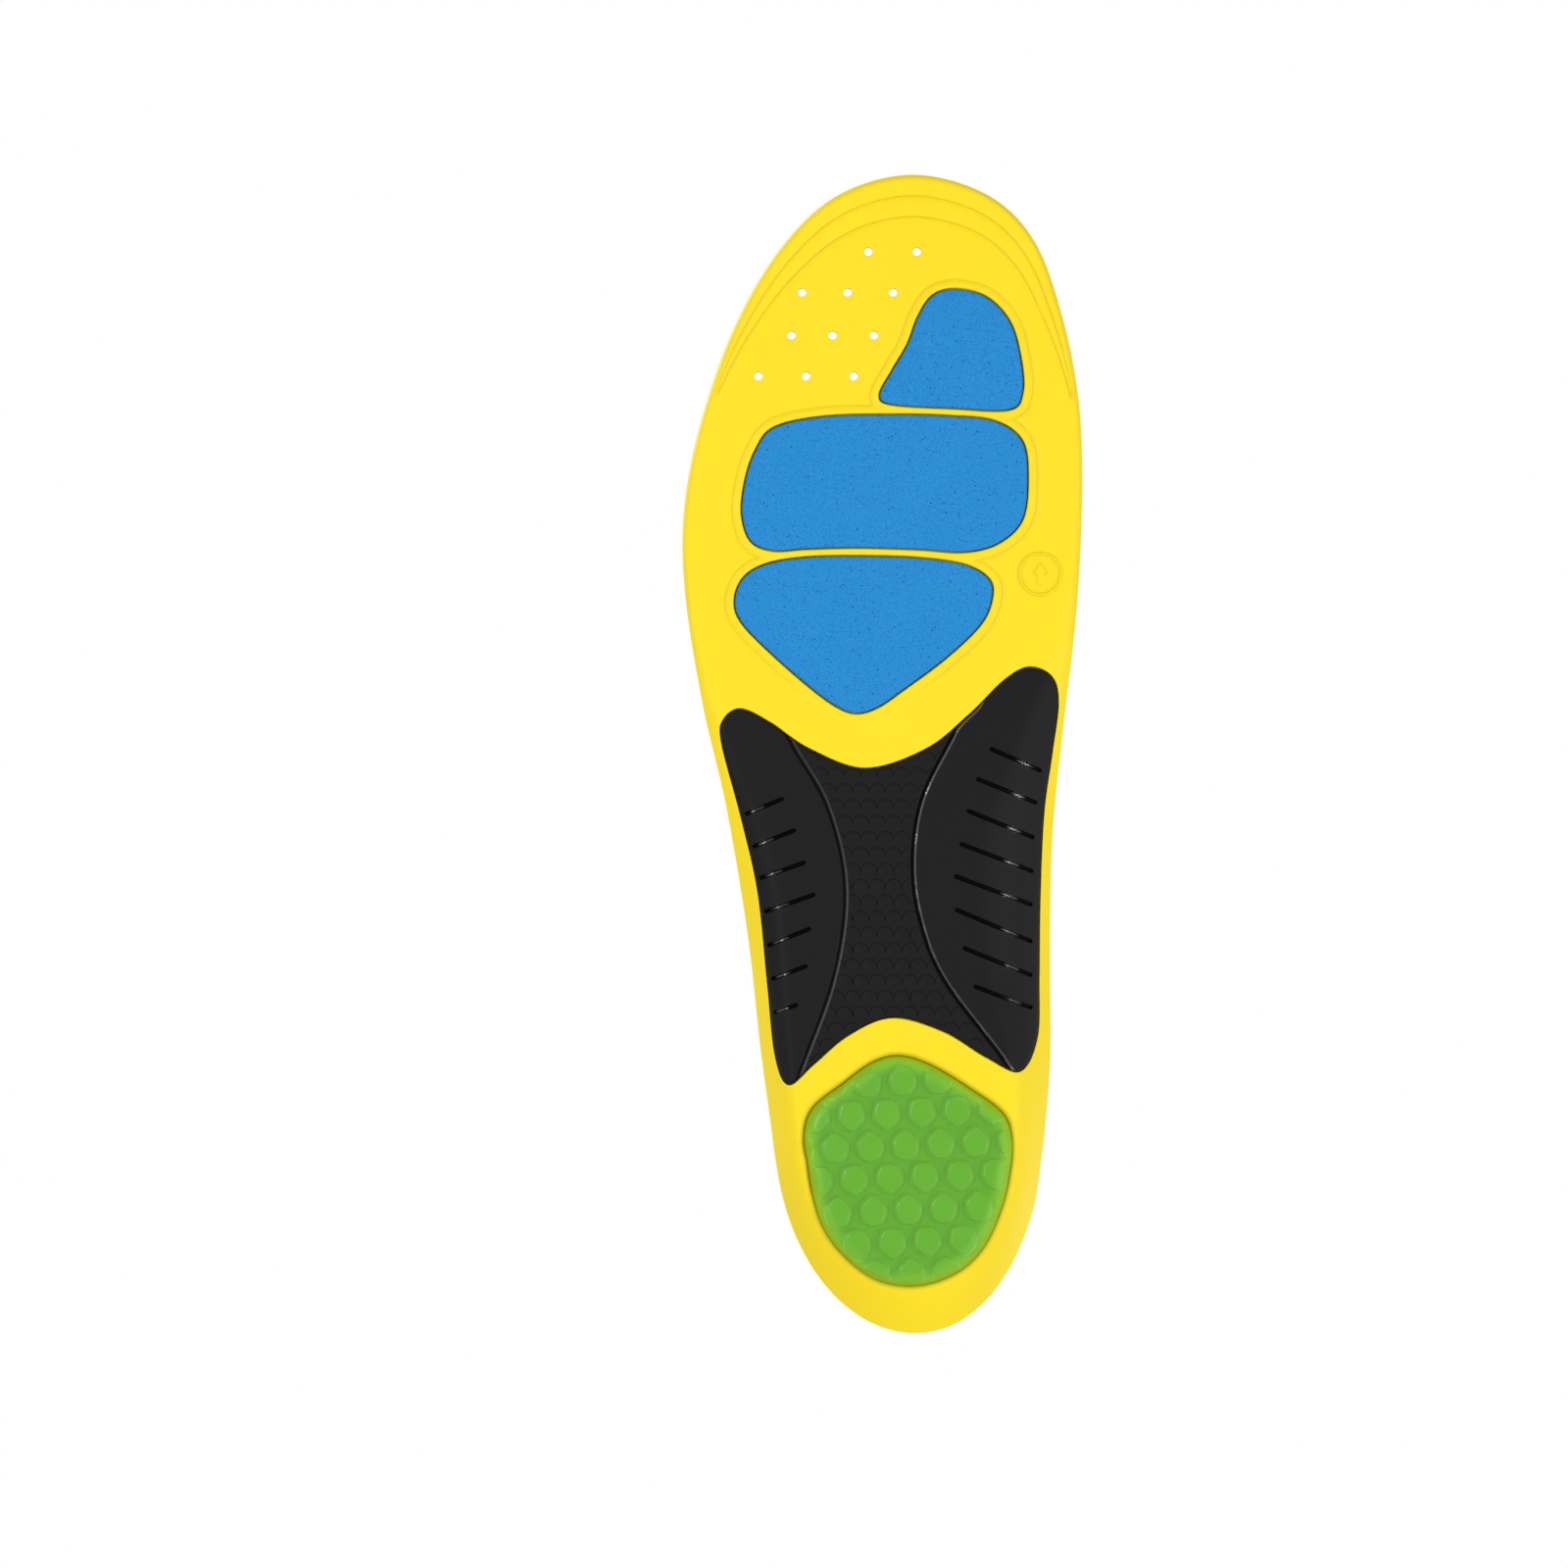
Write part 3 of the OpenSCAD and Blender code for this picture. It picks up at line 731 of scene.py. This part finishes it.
def make_arch_shell(materials):
    build = Build()
    outline = grown(shell_loop, -SHELL_GAP)
    middle = smooth_loop(fitted(MIDDLE_PTS), 16)
    arcs = scale_arcs(middle)
    loops = loop_family(outline, -shell_edge.stops)
    loops += loop_family(middle, STEP_LOOPS)
    loops += [slit_loop(s, out) for s in slits for out in SLIT_LOOPS]
    lines = arcs + [np.linspace(*s, SLIT_STEPS) for s in slits]
    fill = fill_points(outline, 1.4, [outline, middle, *lines], 0.5)
    places, faces = plan_mesh(outline, loops, lines, fill)

    slit_loops = [slit_loop(s) for s in slits]
    z = outer_skin.z(places) + shell_edge(line_distance(outline, places))
    z += step_profile(depth_in(middle, places))
    z += SLIT_DEPTH * slit_profile(deepest(slit_loops, places))
    z += SCALE_GROOVE * groove_share(arcs[1::3], SCALE_GROOVE_W, places)
    build.slab(places, faces, z, shell_skin.z(places))
    piece = build.piece("arch_shell_moulding", materials, 45, "arch_shell", "shell_plastic")
    at = vertices_of(piece)[:, :2]
    right_of_step = -np.sign(at[:, 0]) * depth_in(middle, at)
    lip = smooth_step(0.1, 0.3, right_of_step) * smooth_step(0.9, 0.7, right_of_step)
    lip *= np.where(at[:, 0] < 0, LATERAL_LIP, 1)
    # Painted shade: this share marks the slits, the deep part of the step grooves and the scale grooves,
    # which the material draws near black.
    pit_shade = smooth_step(-0.5, -0.2, right_of_step) * smooth_step(0.3, 0.1, right_of_step)
    in_slit = smooth_step(-0.1, 0.1, deepest(slit_loops, at))
    in_scale = groove_share(arcs[1::3], SCALE_GROOVE_W, at)
    store(piece, "pit_shade", np.max([in_slit, in_scale, pit_shade], axis=0))
    store(piece, "polish", np.maximum(lip, in_slit * glint_share(at)))


# ---------- heel gel pad
GEL_SWELL = GEL_GAP - 0.05  # the soft gel bulges until it almost meets the wall round it
BUMP_PTS = [
    [0, -3.75], [2.2, -3.1], [3.2, -0.9], [3.2, 1.3], [1.9, 2.9], [0, 4.1], [-1.9, 2.9], [-3.2, 1.3],
    [-3.2, -0.9], [-2.2, -3.1]]
gel_edge = curve([[0, 0.75], [0.12, 0.6], [0.35, 0.42], [0.7, 0.2], [1.2, 0]])
BUMP_STOPS = (-0.3, 0, 0.16, 0.36, 0.6)
bump_rise = curve([[0, 0], [0.16, 0.35], [0.36, 0.78], [0.6, 0.95], [3.3, 1]])


def bump_loops(depth=0.0):
    """The outlines of the gel bumps, whose rows point to the heel and to the toe in turn."""
    turn = math.radians(BUMP_TILT)
    spin = np.array([[math.cos(turn), -math.sin(turn)], [math.sin(turn), math.cos(turn)]])
    start = fitted([BUMP_FROM])[0]
    loops = []
    for row in range(7):
        shape = np.array(BUMP_PTS) * (1, 1 if row % 2 else -1)
        shape = smooth_loop(shape if row % 2 else shape[::-1], 4)
        for k in range(-3, 4):
            place = np.array([(k + (row % 2) / 2) * BUMP_PITCH, row * BUMP_ROW])
            loops.append(grown(shape, -depth) @ spin.T + start + spin @ place)
    return loops


def make_gel_pad(materials):
    build = Build()
    outline = grown(gel_loop, GEL_SWELL)
    loops = loop_family(outline, -gel_edge.stops)
    clear = grown(gel_loop, -1.0)
    shapes = [l for l in bump_loops() if is_inside(clear, l).any()]
    lines = []
    for shape in [l for depth in BUMP_STOPS for l in bump_loops(depth)]:
        inside = is_inside(clear, shape)
        if inside.all():
            loops.append(shape)
        elif inside.sum() > 1:
            start = np.argmin(inside)
            lines.append(np.roll(shape, -start, 0)[np.roll(inside, -start)])
    fill = fill_points(outline, 1.3, [outline, *shapes], 0.5)
    places, faces = plan_mesh(outline, loops, lines, fill)
    from_border = line_distance(outline, places)
    z = outer_skin.z(places) + gel_edge(from_border)
    z -= HEEL_LIFT * bump_rise(deepest(shapes, places)) * smooth_step(0.5, 2.4, from_border)
    build.slab(places, faces, z, GEL_TOP)
    piece = build.piece("heel_gel_moulding", materials, 60, "heel_gel_pad", "heel_gel")
    at = vertices_of(piece)[:, :2]
    store(piece, "from_border", np.clip(line_distance(outline, at), 0, 8))
    store(piece, "in_bump", np.clip(deepest(shapes, at), -1, 2))


# ---------- materials
def srgb(*rgb):
    """A colour given as 0-255 on screen, as the light it stands for."""
    v = np.array(rgb) / 255
    light = np.where(v <= 0.04045, v / 12.92, ((v + 0.055) / 1.055) ** 2.4)
    return (*light.tolist(), 1)


class Look:
    """One procedural material and short ways to add its nodes."""

    def __init__(self, name, **values):
        self.material = bpy.data.materials.new(name)
        self.material.use_nodes = True
        self.tree = self.material.node_tree
        self.shader = self.tree.nodes["Principled BSDF"]
        for key, value in values.items():
            self.shader.inputs[key.replace("_", " ")].default_value = value
        place = self.add("ShaderNodeTexCoord").outputs["Object"]
        self.place = self.shade(place, 1 / MM)
        self.x, self.y, _ = self.add("ShaderNodeSeparateXYZ", [self.place]).outputs

    def add(self, kind, inputs=(), **settings):
        node = self.tree.nodes.new(kind)
        for key, value in settings.items():
            setattr(node, key, value)
        pairs = inputs.items() if isinstance(inputs, dict) else enumerate(inputs)
        for key, value in pairs:
            if isinstance(value, bpy.types.NodeSocket):
                self.tree.links.new(value, node.inputs[key])
            else:
                node.inputs[key].default_value = value
        return node

    def math(self, operation, *values):
        return self.add("ShaderNodeMath", values, operation=operation).outputs[0]

    def times(self, first, *others):
        for other in others:
            first = self.math("MULTIPLY", first, other)
        return first

    def scaled(self, value, by, plus):
        return self.math("MULTIPLY_ADD", value, by, plus)

    def ramp(self, value, low, high, smooth=True):
        """0 to 1 as a value goes from low to high."""
        kind = "SMOOTHSTEP" if smooth else "LINEAR"
        return self.add("ShaderNodeMapRange", {0: value, 1: low, 2: high},
                        interpolation_type=kind).outputs[0]

    def mix(self, share, a, b):
        return self.add("ShaderNodeMix", {0: share, 6: a, 7: b}, data_type="RGBA").outputs[2]

    def shade(self, colour, by):
        """The colour made lighter or darker by a factor."""
        return self.add("ShaderNodeVectorMath", {0: colour, "Scale": by},
                        operation="SCALE").outputs[0]

    def noise(self, scale, detail, rough=0.5, stretch=None):
        """Noise whose grains are about scale millimetres."""
        at = self.place
        if stretch:
            at = self.add("ShaderNodeVectorMath", [at, stretch], operation="MULTIPLY").outputs[0]
        return self.add("ShaderNodeTexNoise", {"Vector": at, "Scale": 1 / scale,
                                               "Detail": detail, "Roughness": rough}).outputs[0]

    def cells(self, scale):
        """How far each place is from the middle of its cell."""
        node = self.add("ShaderNodeTexVoronoi", {"Vector": self.place, "Scale": 1 / scale})
        return node.outputs["Distance"]

    def attribute(self, name):
        return self.add("ShaderNodeAttribute", attribute_name=name).outputs["Fac"]

    def colours(self, value, stops):
        node = self.add("ShaderNodeValToRGB", [value])
        ramp = node.color_ramp
        while len(ramp.elements) < len(stops):
            ramp.elements.new(0.5)
        for element, (at, colour) in zip(ramp.elements, stops):
            element.position = at
            element.color = colour
        return node.outputs[0]

    def bump(self, height, depth, strength):
        """Relief from a 0-1 height, depth millimetres deep."""
        node = self.add("ShaderNodeBump", {"Height": height, "Distance": depth * MM,
                                           "Strength": strength})
        self.tree.links.new(node.outputs[0], self.shader.inputs["Normal"])

    def paint(self, colour, **values):
        """The material, in a colour and with other values that vary over it."""
        self.tree.links.new(colour, self.shader.inputs["Base Color"])
        for key, value in values.items():
            self.tree.links.new(value, self.shader.inputs[key.replace("_", " ")])
        return self.material


STRIPE_PITCH = 6.415
STRIPE_FROM = -116.4
STRIPE_SLOPE = 0.13
MOTIF_X = -17.5
MOTIF_FROM = 5.6           # where the first chevron's tip is, with the pitch and count of them
MOTIF_PITCH = 7.2
MOTIF_COUNT = 5
MOTIF_REACH = 3.6
COVER_COLOURS = [
    (0, (255, 204, 118)), (0.12, (254, 197, 132)), (0.2, (240, 196, 146)), (0.27, (213, 192, 170)),
    (0.34, (186, 189, 187)), (0.45, (133, 172, 198)), (0.53, (104, 166, 208)),
    (0.64, (80, 155, 212)), (0.75, (64, 140, 210)), (0.88, (52, 122, 198)), (1, (46, 110, 188))]


def knit_height(look):
    """Rows of small V stitches, as the height of a fine jersey."""
    wale = look.math("PINGPONG", look.math("DIVIDE", look.x, 0.5), 0.5)
    course = look.math("ADD", look.math("DIVIDE", look.y, 0.62), wale)
    wave = look.math("SINE", look.times(course, 2 * math.pi))
    rib = look.math("COSINE", look.times(look.x, 2 * math.pi / 1.0))
    both = look.scaled(rib, 0.35, wave)
    return look.scaled(both, 0.35, 0.5)


def stripe_distance(look):
    """Millimetres across from the middle of the nearest slanting stripe."""
    slanted = look.scaled(look.x, -STRIPE_SLOPE, look.y)
    steps = look.math("DIVIDE", look.math("SUBTRACT", slanted, STRIPE_FROM), STRIPE_PITCH)
    away = look.math("PINGPONG", steps, 0.5)
    return look.times(away, STRIPE_PITCH)


def motif_mask(look):
    """A column of plain white chevrons that point to the toe."""
    across = look.math("ABSOLUTE", look.math("SUBTRACT", look.x, MOTIF_X))
    slanted = look.math("SUBTRACT", look.math("SUBTRACT", look.y, MOTIF_FROM), across)
    steps = look.math("DIVIDE", slanted, MOTIF_PITCH)
    return look.times(look.ramp(look.math("PINGPONG", steps, 0.5), 0.29, 0.32),
                      look.ramp(across, MOTIF_REACH, MOTIF_REACH - 0.2), look.ramp(steps, 0, 0.1),
                      look.ramp(steps, MOTIF_COUNT, MOTIF_COUNT - 0.1))


def cover_look():
    look = Look("cover_knit", Roughness=0.9, Sheen_Weight=0.14, Sheen_Roughness=0.45,
                Specular_IOR_Level=0.25)
    along = look.ramp(look.y, -135, 135, smooth=False)
    drift = look.scaled(look.noise(30, 1), 0.04, -0.02)
    stops = [(at, srgb(*rgb)) for at, rgb in COVER_COLOURS]
    colour = look.colours(look.math("ADD", along, drift), stops)

    stripe = stripe_distance(look)
    quiet = look.times(look.ramp(look.x, -29, -26), look.ramp(look.x, -9, -12),
                       look.ramp(look.y, 3, 7), look.ramp(look.y, 49, 45))
    toe, ball, meta = [look.attribute("print_" + pad) for pad in ("toe", "ball", "meta")]
    inside = look.ramp(look.math("MAXIMUM", toe, look.math("MAXIMUM", ball, meta)), -0.6, 0)
    heel = look.ramp(look.attribute("print_heel"), -0.1, 0.15)
    free = look.math("SUBTRACT", 1, look.math("MAXIMUM", quiet, look.math("MAXIMUM", inside, heel)))
    ragged = look.scaled(look.noise(0.5, 2), 0.5, stripe)
    worn = look.scaled(look.noise(0.9, 3, 0.7, stretch=(0.4, 1, 1)), 0.8, stripe)
    faint = look.times(look.ramp(worn, 1.7, 1.25), free)
    tint = look.mix(look.ramp(along, 0.2, 0.55), (1, 1, 0.7, 1), (0.35, 1, 1, 1))
    colour = look.mix(look.times(faint, 0.14), colour, tint)

    orange = srgb(255, 122, 52)
    for name, width, ink in (("toe", 0.62, srgb(62, 106, 166)), ("ball", 0.66, orange),
                             ("meta", 0.66, orange), ("heel", 1.2, srgb(58, 92, 150)),
                             ("heel", 1.0, orange)):
        depth = look.attribute("print_" + name)
        bar = look.times(look.ramp(ragged, width + 0.32, width + 0.18),
                         look.ramp(depth, -0.05, 0.12))
        colour = look.mix(bar, colour, ink)
    graded = [(0.0, srgb(226, 48, 46)), (0.3, srgb(242, 86, 44)), (0.55, srgb(255, 178, 60)),
              (0.8, srgb(255, 228, 84)), (1.0, srgb(255, 238, 100))]
    for name, left, right in (("toe", -2, 32), ("ball", -34, 32), ("meta", -36, 26)):
        away = look.math("ABSOLUTE", look.attribute("print_" + name))
        ink = look.colours(look.ramp(look.x, left, right, smooth=False), graded)
        colour = look.mix(look.ramp(away, 0.44, 0.3), colour, ink)
    colour = look.mix(motif_mask(look), colour, srgb(250, 250, 248))

    height = knit_height(look)
    strength = look.scaled(look.ramp(look.y, -100, 20), 0.6, 0.3)
    grain = look.math("SUBTRACT", look.noise(0.45, 3, 0.75, stretch=(1, 0.7, 1)), 0.5)
    speckle = look.scaled(grain, strength, 1.0)
    cloud = look.scaled(look.noise(14, 3), 0.10, 0.95)
    # The speckle and cloud are the yarn's own mottling. The stitch height term is painted shade, darker
    # in the low parts of each stitch row.
    colour = look.shade(colour, look.times(speckle, cloud, look.scaled(height, 0.12, 0.94)))
    at_vent = look.ramp(look.attribute("from_vent"), 0.35, 0)
    colour = look.mix(at_vent, colour, srgb(250, 232, 120))
    fibres = look.scaled(look.noise(0.2, 2), 0.5, height)
    look.bump(fibres, 0.12, 0.6)
    return look.paint(colour)


def cover_edge_look():
    look = Look("cover_cut_edge", Roughness=0.95, Sheen_Weight=0.3, Specular_IOR_Level=0.2)
    along = look.ramp(look.y, -60, 20)
    tint = look.mix(along, srgb(250, 232, 200), srgb(176, 208, 236))
    fibres = look.noise(0.12, 3, 0.7)
    colour = look.mix(look.ramp(fibres, 0.35, 0.65), tint, srgb(236, 242, 248))
    look.bump(fibres, 0.15, 0.8)
    return look.paint(colour)


def film_look():
    look = Look("barrier_film", Roughness=0.3, Specular_IOR_Level=0.4)
    grain = look.noise(3, 3)
    colour = look.mix(grain, srgb(238, 240, 236), srgb(252, 250, 240))
    look.bump(look.noise(0.8, 2), 0.02, 0.4)
    return look.paint(colour, Roughness=look.scaled(grain, 0.15, 0.25))


def foam_look():
    look = Look("base_foam", Specular_IOR_Level=0.18, Subsurface_Weight=0.06,
                Subsurface_Scale=0.8 * MM, Subsurface_Radius=(1, 0.7, 0.1))
    cloud = look.noise(22, 3)
    grain = look.noise(0.35, 2, 0.6)
    colour = look.mix(cloud, srgb(253, 222, 32), srgb(255, 227, 38))
    colour = look.shade(colour, look.scaled(grain, 0.05, 0.975))
    pits = look.ramp(look.cells(0.9), 0.14, 0.05)
    colour = look.mix(look.times(pits, 0.12), colour, srgb(214, 178, 20))
    # Painted shade: the foam is tinted darker mustard along the lip creases and trim grooves, where shade
    # falls in them.
    crease_shade = look.times(look.attribute("crease_shade"), 0.3)
    colour = look.mix(crease_shade, colour, srgb(226, 190, 24))
    # Painted shade: the foam round the gel's recess is tinted darker mustard, standing in for the shaded
    # recess wall.
    ring_shade = look.times(look.attribute("gel_ring_shade"), 0.8)
    colour = look.mix(ring_shade, colour, srgb(206, 190, 24))
    look.bump(look.math("SUBTRACT", grain, look.times(pits, 0.6)), 0.05, 0.35)
    return look.paint(colour, Roughness=look.scaled(cloud, 0.1, 0.48))


def pad_look():
    look = Look("pad_foam", Roughness=0.85, Specular_IOR_Level=0.15, Sheen_Weight=0.06)
    grain = look.noise(0.45, 3, 0.7)
    colour = look.mix(look.noise(16, 2), srgb(36, 135, 204), srgb(42, 140, 209))
    colour = look.shade(colour, look.scaled(grain, 1.0, 0.52))
    fine = look.ramp(look.cells(0.62), 0.3, 0.14)
    colour = look.mix(look.times(fine, 0.65), colour, srgb(20, 94, 160))
    pores = look.ramp(look.cells(1.1), 0.2, 0.11)
    sparse = look.ramp(look.noise(1.4, 1), 0.48, 0.58)
    pores = look.times(pores, sparse)
    colour = look.mix(look.times(pores, 0.85), colour, srgb(12, 62, 120))
    relief = look.scaled(fine, 0.3, pores)
    look.bump(look.math("SUBTRACT", grain, relief), 0.14, 0.7)
    return look.paint(colour)


def shell_look():
    look = Look("shell_plastic")
    scuff = look.noise(9, 3)
    pit_shade, polish = look.attribute("pit_shade"), look.attribute("polish")
    colour = look.mix(scuff, (0.0050, 0.0050, 0.0054, 1), (0.0066, 0.0066, 0.007, 1))
    # Painted shade: the slits and grooves are drawn near black with weaker reflection, where shade falls
    # in them.
    colour = look.mix(pit_shade, colour, (0.002, 0.002, 0.002, 1))
    shine = look.scaled(polish, 1.5, look.scaled(pit_shade, -0.11, 0.18))
    look.bump(look.noise(0.18, 2), 0.02, 0.2)
    satin = look.scaled(scuff, 0.1, 0.55)
    return look.paint(colour, Roughness=look.scaled(polish, -0.42, satin),
                      Specular_IOR_Level=shine)


def gel_look():
    look = Look("heel_gel", Roughness=0.36, Subsurface_Weight=0.3, Subsurface_Scale=1.4 * MM,
                Subsurface_Radius=(0.6, 1, 0.3))
    border = look.attribute("from_border")
    in_bump = look.attribute("in_bump")
    body = look.mix(look.noise(9, 2), srgb(99, 174, 40), srgb(106, 181, 46))
    thin = look.mix(look.ramp(border, 4.2, 0.8), body, srgb(132, 194, 50))
    # Painted shade: the channels between the bumps are drawn a little darker.
    valley_shade = look.times(look.ramp(in_bump, 0.05, -0.4), look.ramp(border, 1.5, 4))
    colour = look.mix(look.times(valley_shade, 0.15), thin, srgb(92, 176, 44))
    # Painted highlight: a light green outline round the foot of each bump, where its edge catches the
    # light.
    rim = look.times(look.ramp(in_bump, -0.1, 0.05), look.ramp(in_bump, 0.34, 0.16))
    colour = look.mix(look.times(rim, 0.7), colour, srgb(150, 216, 98))
    # Painted shade: an olive ring along the gel's border, where it dips into the shaded groove by the
    # foam.
    ring_shade = look.times(look.ramp(border, 1.3, 0.75), 0.85)
    colour = look.mix(ring_shade, colour, srgb(158, 186, 34))
    shine = look.scaled(look.ramp(border, 2.6, 0.9), -0.3, 0.35)
    look.bump(look.noise(2.5, 2), 0.05, 0.3)
    return look.paint(colour, Specular_IOR_Level=shine)


def tape_look():
    look = Look("tape", Roughness=0.5, Specular_IOR_Level=0.3)
    fibre = look.noise(0.4, 3, 0.6, stretch=(1, 0.15, 1))
    colour = look.mix(fibre, srgb(214, 212, 200), srgb(242, 240, 230))
    look.bump(fibre, 0.03, 0.5)
    return look.paint(colour)


# ---------- stage, light and camera
CAMERA_DISTANCE = 1.8
VIEW_WIDTH = 0.3643        # what the camera sees across at the height of the sole
VIEW_CENTRE = (-0.0230, 0.0068)
SENSOR = 36.0
FLOOR_R = 3.0
FLOOR_COLOUR = (0.82, 0.82, 0.82, 1)
ROOM_LIGHT = 0.58


def make_floor(z):
    """A pale floor that is only there from above, so the camera below looks through it."""
    mesh = bpy.data.meshes.new("floor")
    r = FLOOR_R
    mesh.from_pydata([(-r, -r, z), (r, -r, z), (r, r, z), (-r, r, z)], [], [(0, 1, 2, 3)])
    floor = bpy.data.objects.new("floor", mesh)
    bpy.context.scene.collection.objects.link(floor)
    look = Look("floor_paper")
    paper = look.add("ShaderNodeBsdfDiffuse", [FLOOR_COLOUR])
    clear = look.add("ShaderNodeBsdfTransparent")
    path = look.add("ShaderNodeLightPath").outputs
    # Light reaches the sole from below through the floor, but what it lights doesn't glow on it
    bounced = look.math("MINIMUM", path["Diffuse Depth"], path["Is Shadow Ray"])
    solid = look.math("MAXIMUM", path["Is Camera Ray"], look.math("MAXIMUM", bounced, look.math(
        "GREATER_THAN", path["Diffuse Depth"], 1.5)))
    back = look.add("ShaderNodeNewGeometry").outputs["Backfacing"]
    solid = look.times(solid, look.math("SUBTRACT", 1, back))
    mix = look.add("ShaderNodeMixShader", [solid, clear.outputs[0], paper.outputs[0]])
    look.tree.links.new(mix.outputs[0], look.tree.nodes["Material Output"].inputs[0])
    mesh.materials.append(look.material)


def make_light(name, place, size, power):
    """A round lamp that faces the insole."""
    data = bpy.data.lights.new(name, "AREA")
    data.shape = "DISK"
    data.size = size
    data.energy = power
    light = bpy.data.objects.new(name, data)
    light.location = place
    light.rotation_mode = "QUATERNION"
    light.rotation_quaternion = Vector(place).to_track_quat("Z", "Y")
    bpy.context.scene.collection.objects.link(light)


def make_camera():
    data = bpy.data.cameras.new("camera")
    data.sensor_width = SENSOR
    data.lens = SENSOR * CAMERA_DISTANCE / VIEW_WIDTH
    data.clip_start, data.clip_end = 0.05, 20
    camera = bpy.data.objects.new("camera", data)
    camera.location = (*VIEW_CENTRE, -CAMERA_DISTANCE)
    camera.rotation_euler = (math.pi, 0, 0)
    bpy.context.scene.collection.objects.link(camera)
    bpy.context.scene.camera = camera


def make_world():
    """An even pale room, whose walls look white."""
    scene = bpy.context.scene
    scene.view_settings.view_transform = "Standard"
    scene.view_settings.look = "None"
    world = bpy.data.worlds.new("studio")
    world.use_nodes = True
    nodes, links = world.node_tree.nodes, world.node_tree.links
    mix = nodes.new("ShaderNodeMixShader")
    links.new(nodes.new("ShaderNodeLightPath").outputs["Is Camera Ray"], mix.inputs[0])
    for room, strength, place in ((nodes["Background"], ROOM_LIGHT, 1),
                                  (nodes.new("ShaderNodeBackground"), 1, 2)):
        room.inputs["Color"].default_value = (1, 1, 1, 1)
        room.inputs["Strength"].default_value = strength
        links.new(room.outputs[0], mix.inputs[place])
    links.new(mix.outputs[0], nodes["World Output"].inputs[0])
    scene.world = world


# ---------- the insole
make_camera()
make_world()
make_foam_base([foam_look()])
make_film([film_look()] * 2)
make_cover([cover_look(), cover_edge_look()])
pad_material, tape_material = pad_look(), tape_look()
for pad, loop in zip(("toe_pad", "ball_pad", "metatarsal_pad"), pad_loops):
    make_pad(pad + "_foam", loop, pad, [pad_material])
make_arch_shell([shell_look()])
make_gel_pad([gel_look()])
for insert in ("toe_pad", "ball_pad", "metatarsal_pad", "heel_gel"):
    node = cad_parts[insert + "_tape"]
    node.data.materials.clear()
    node.data.materials.append(tape_material)

low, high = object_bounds()
make_floor(low.z - 0.0001)
for name, place, size, power in (("key_below", (-0.62, -0.1, -0.85), 0.3, 4.0),
                                 ("fill_below", (0.6, 0.35, -0.72), 0.7, 2.0),
                                 ("edge_below", (1.0, 0.22, -0.4), 0.2, 2.2),
                                 ("key_above", (-0.55, -0.5, 0.85), 0.6, 5.0),
                                 ("fill_above", (0.6, 0.5, 0.8), 0.9, 1.8)):
    make_light(name, place, size, power)
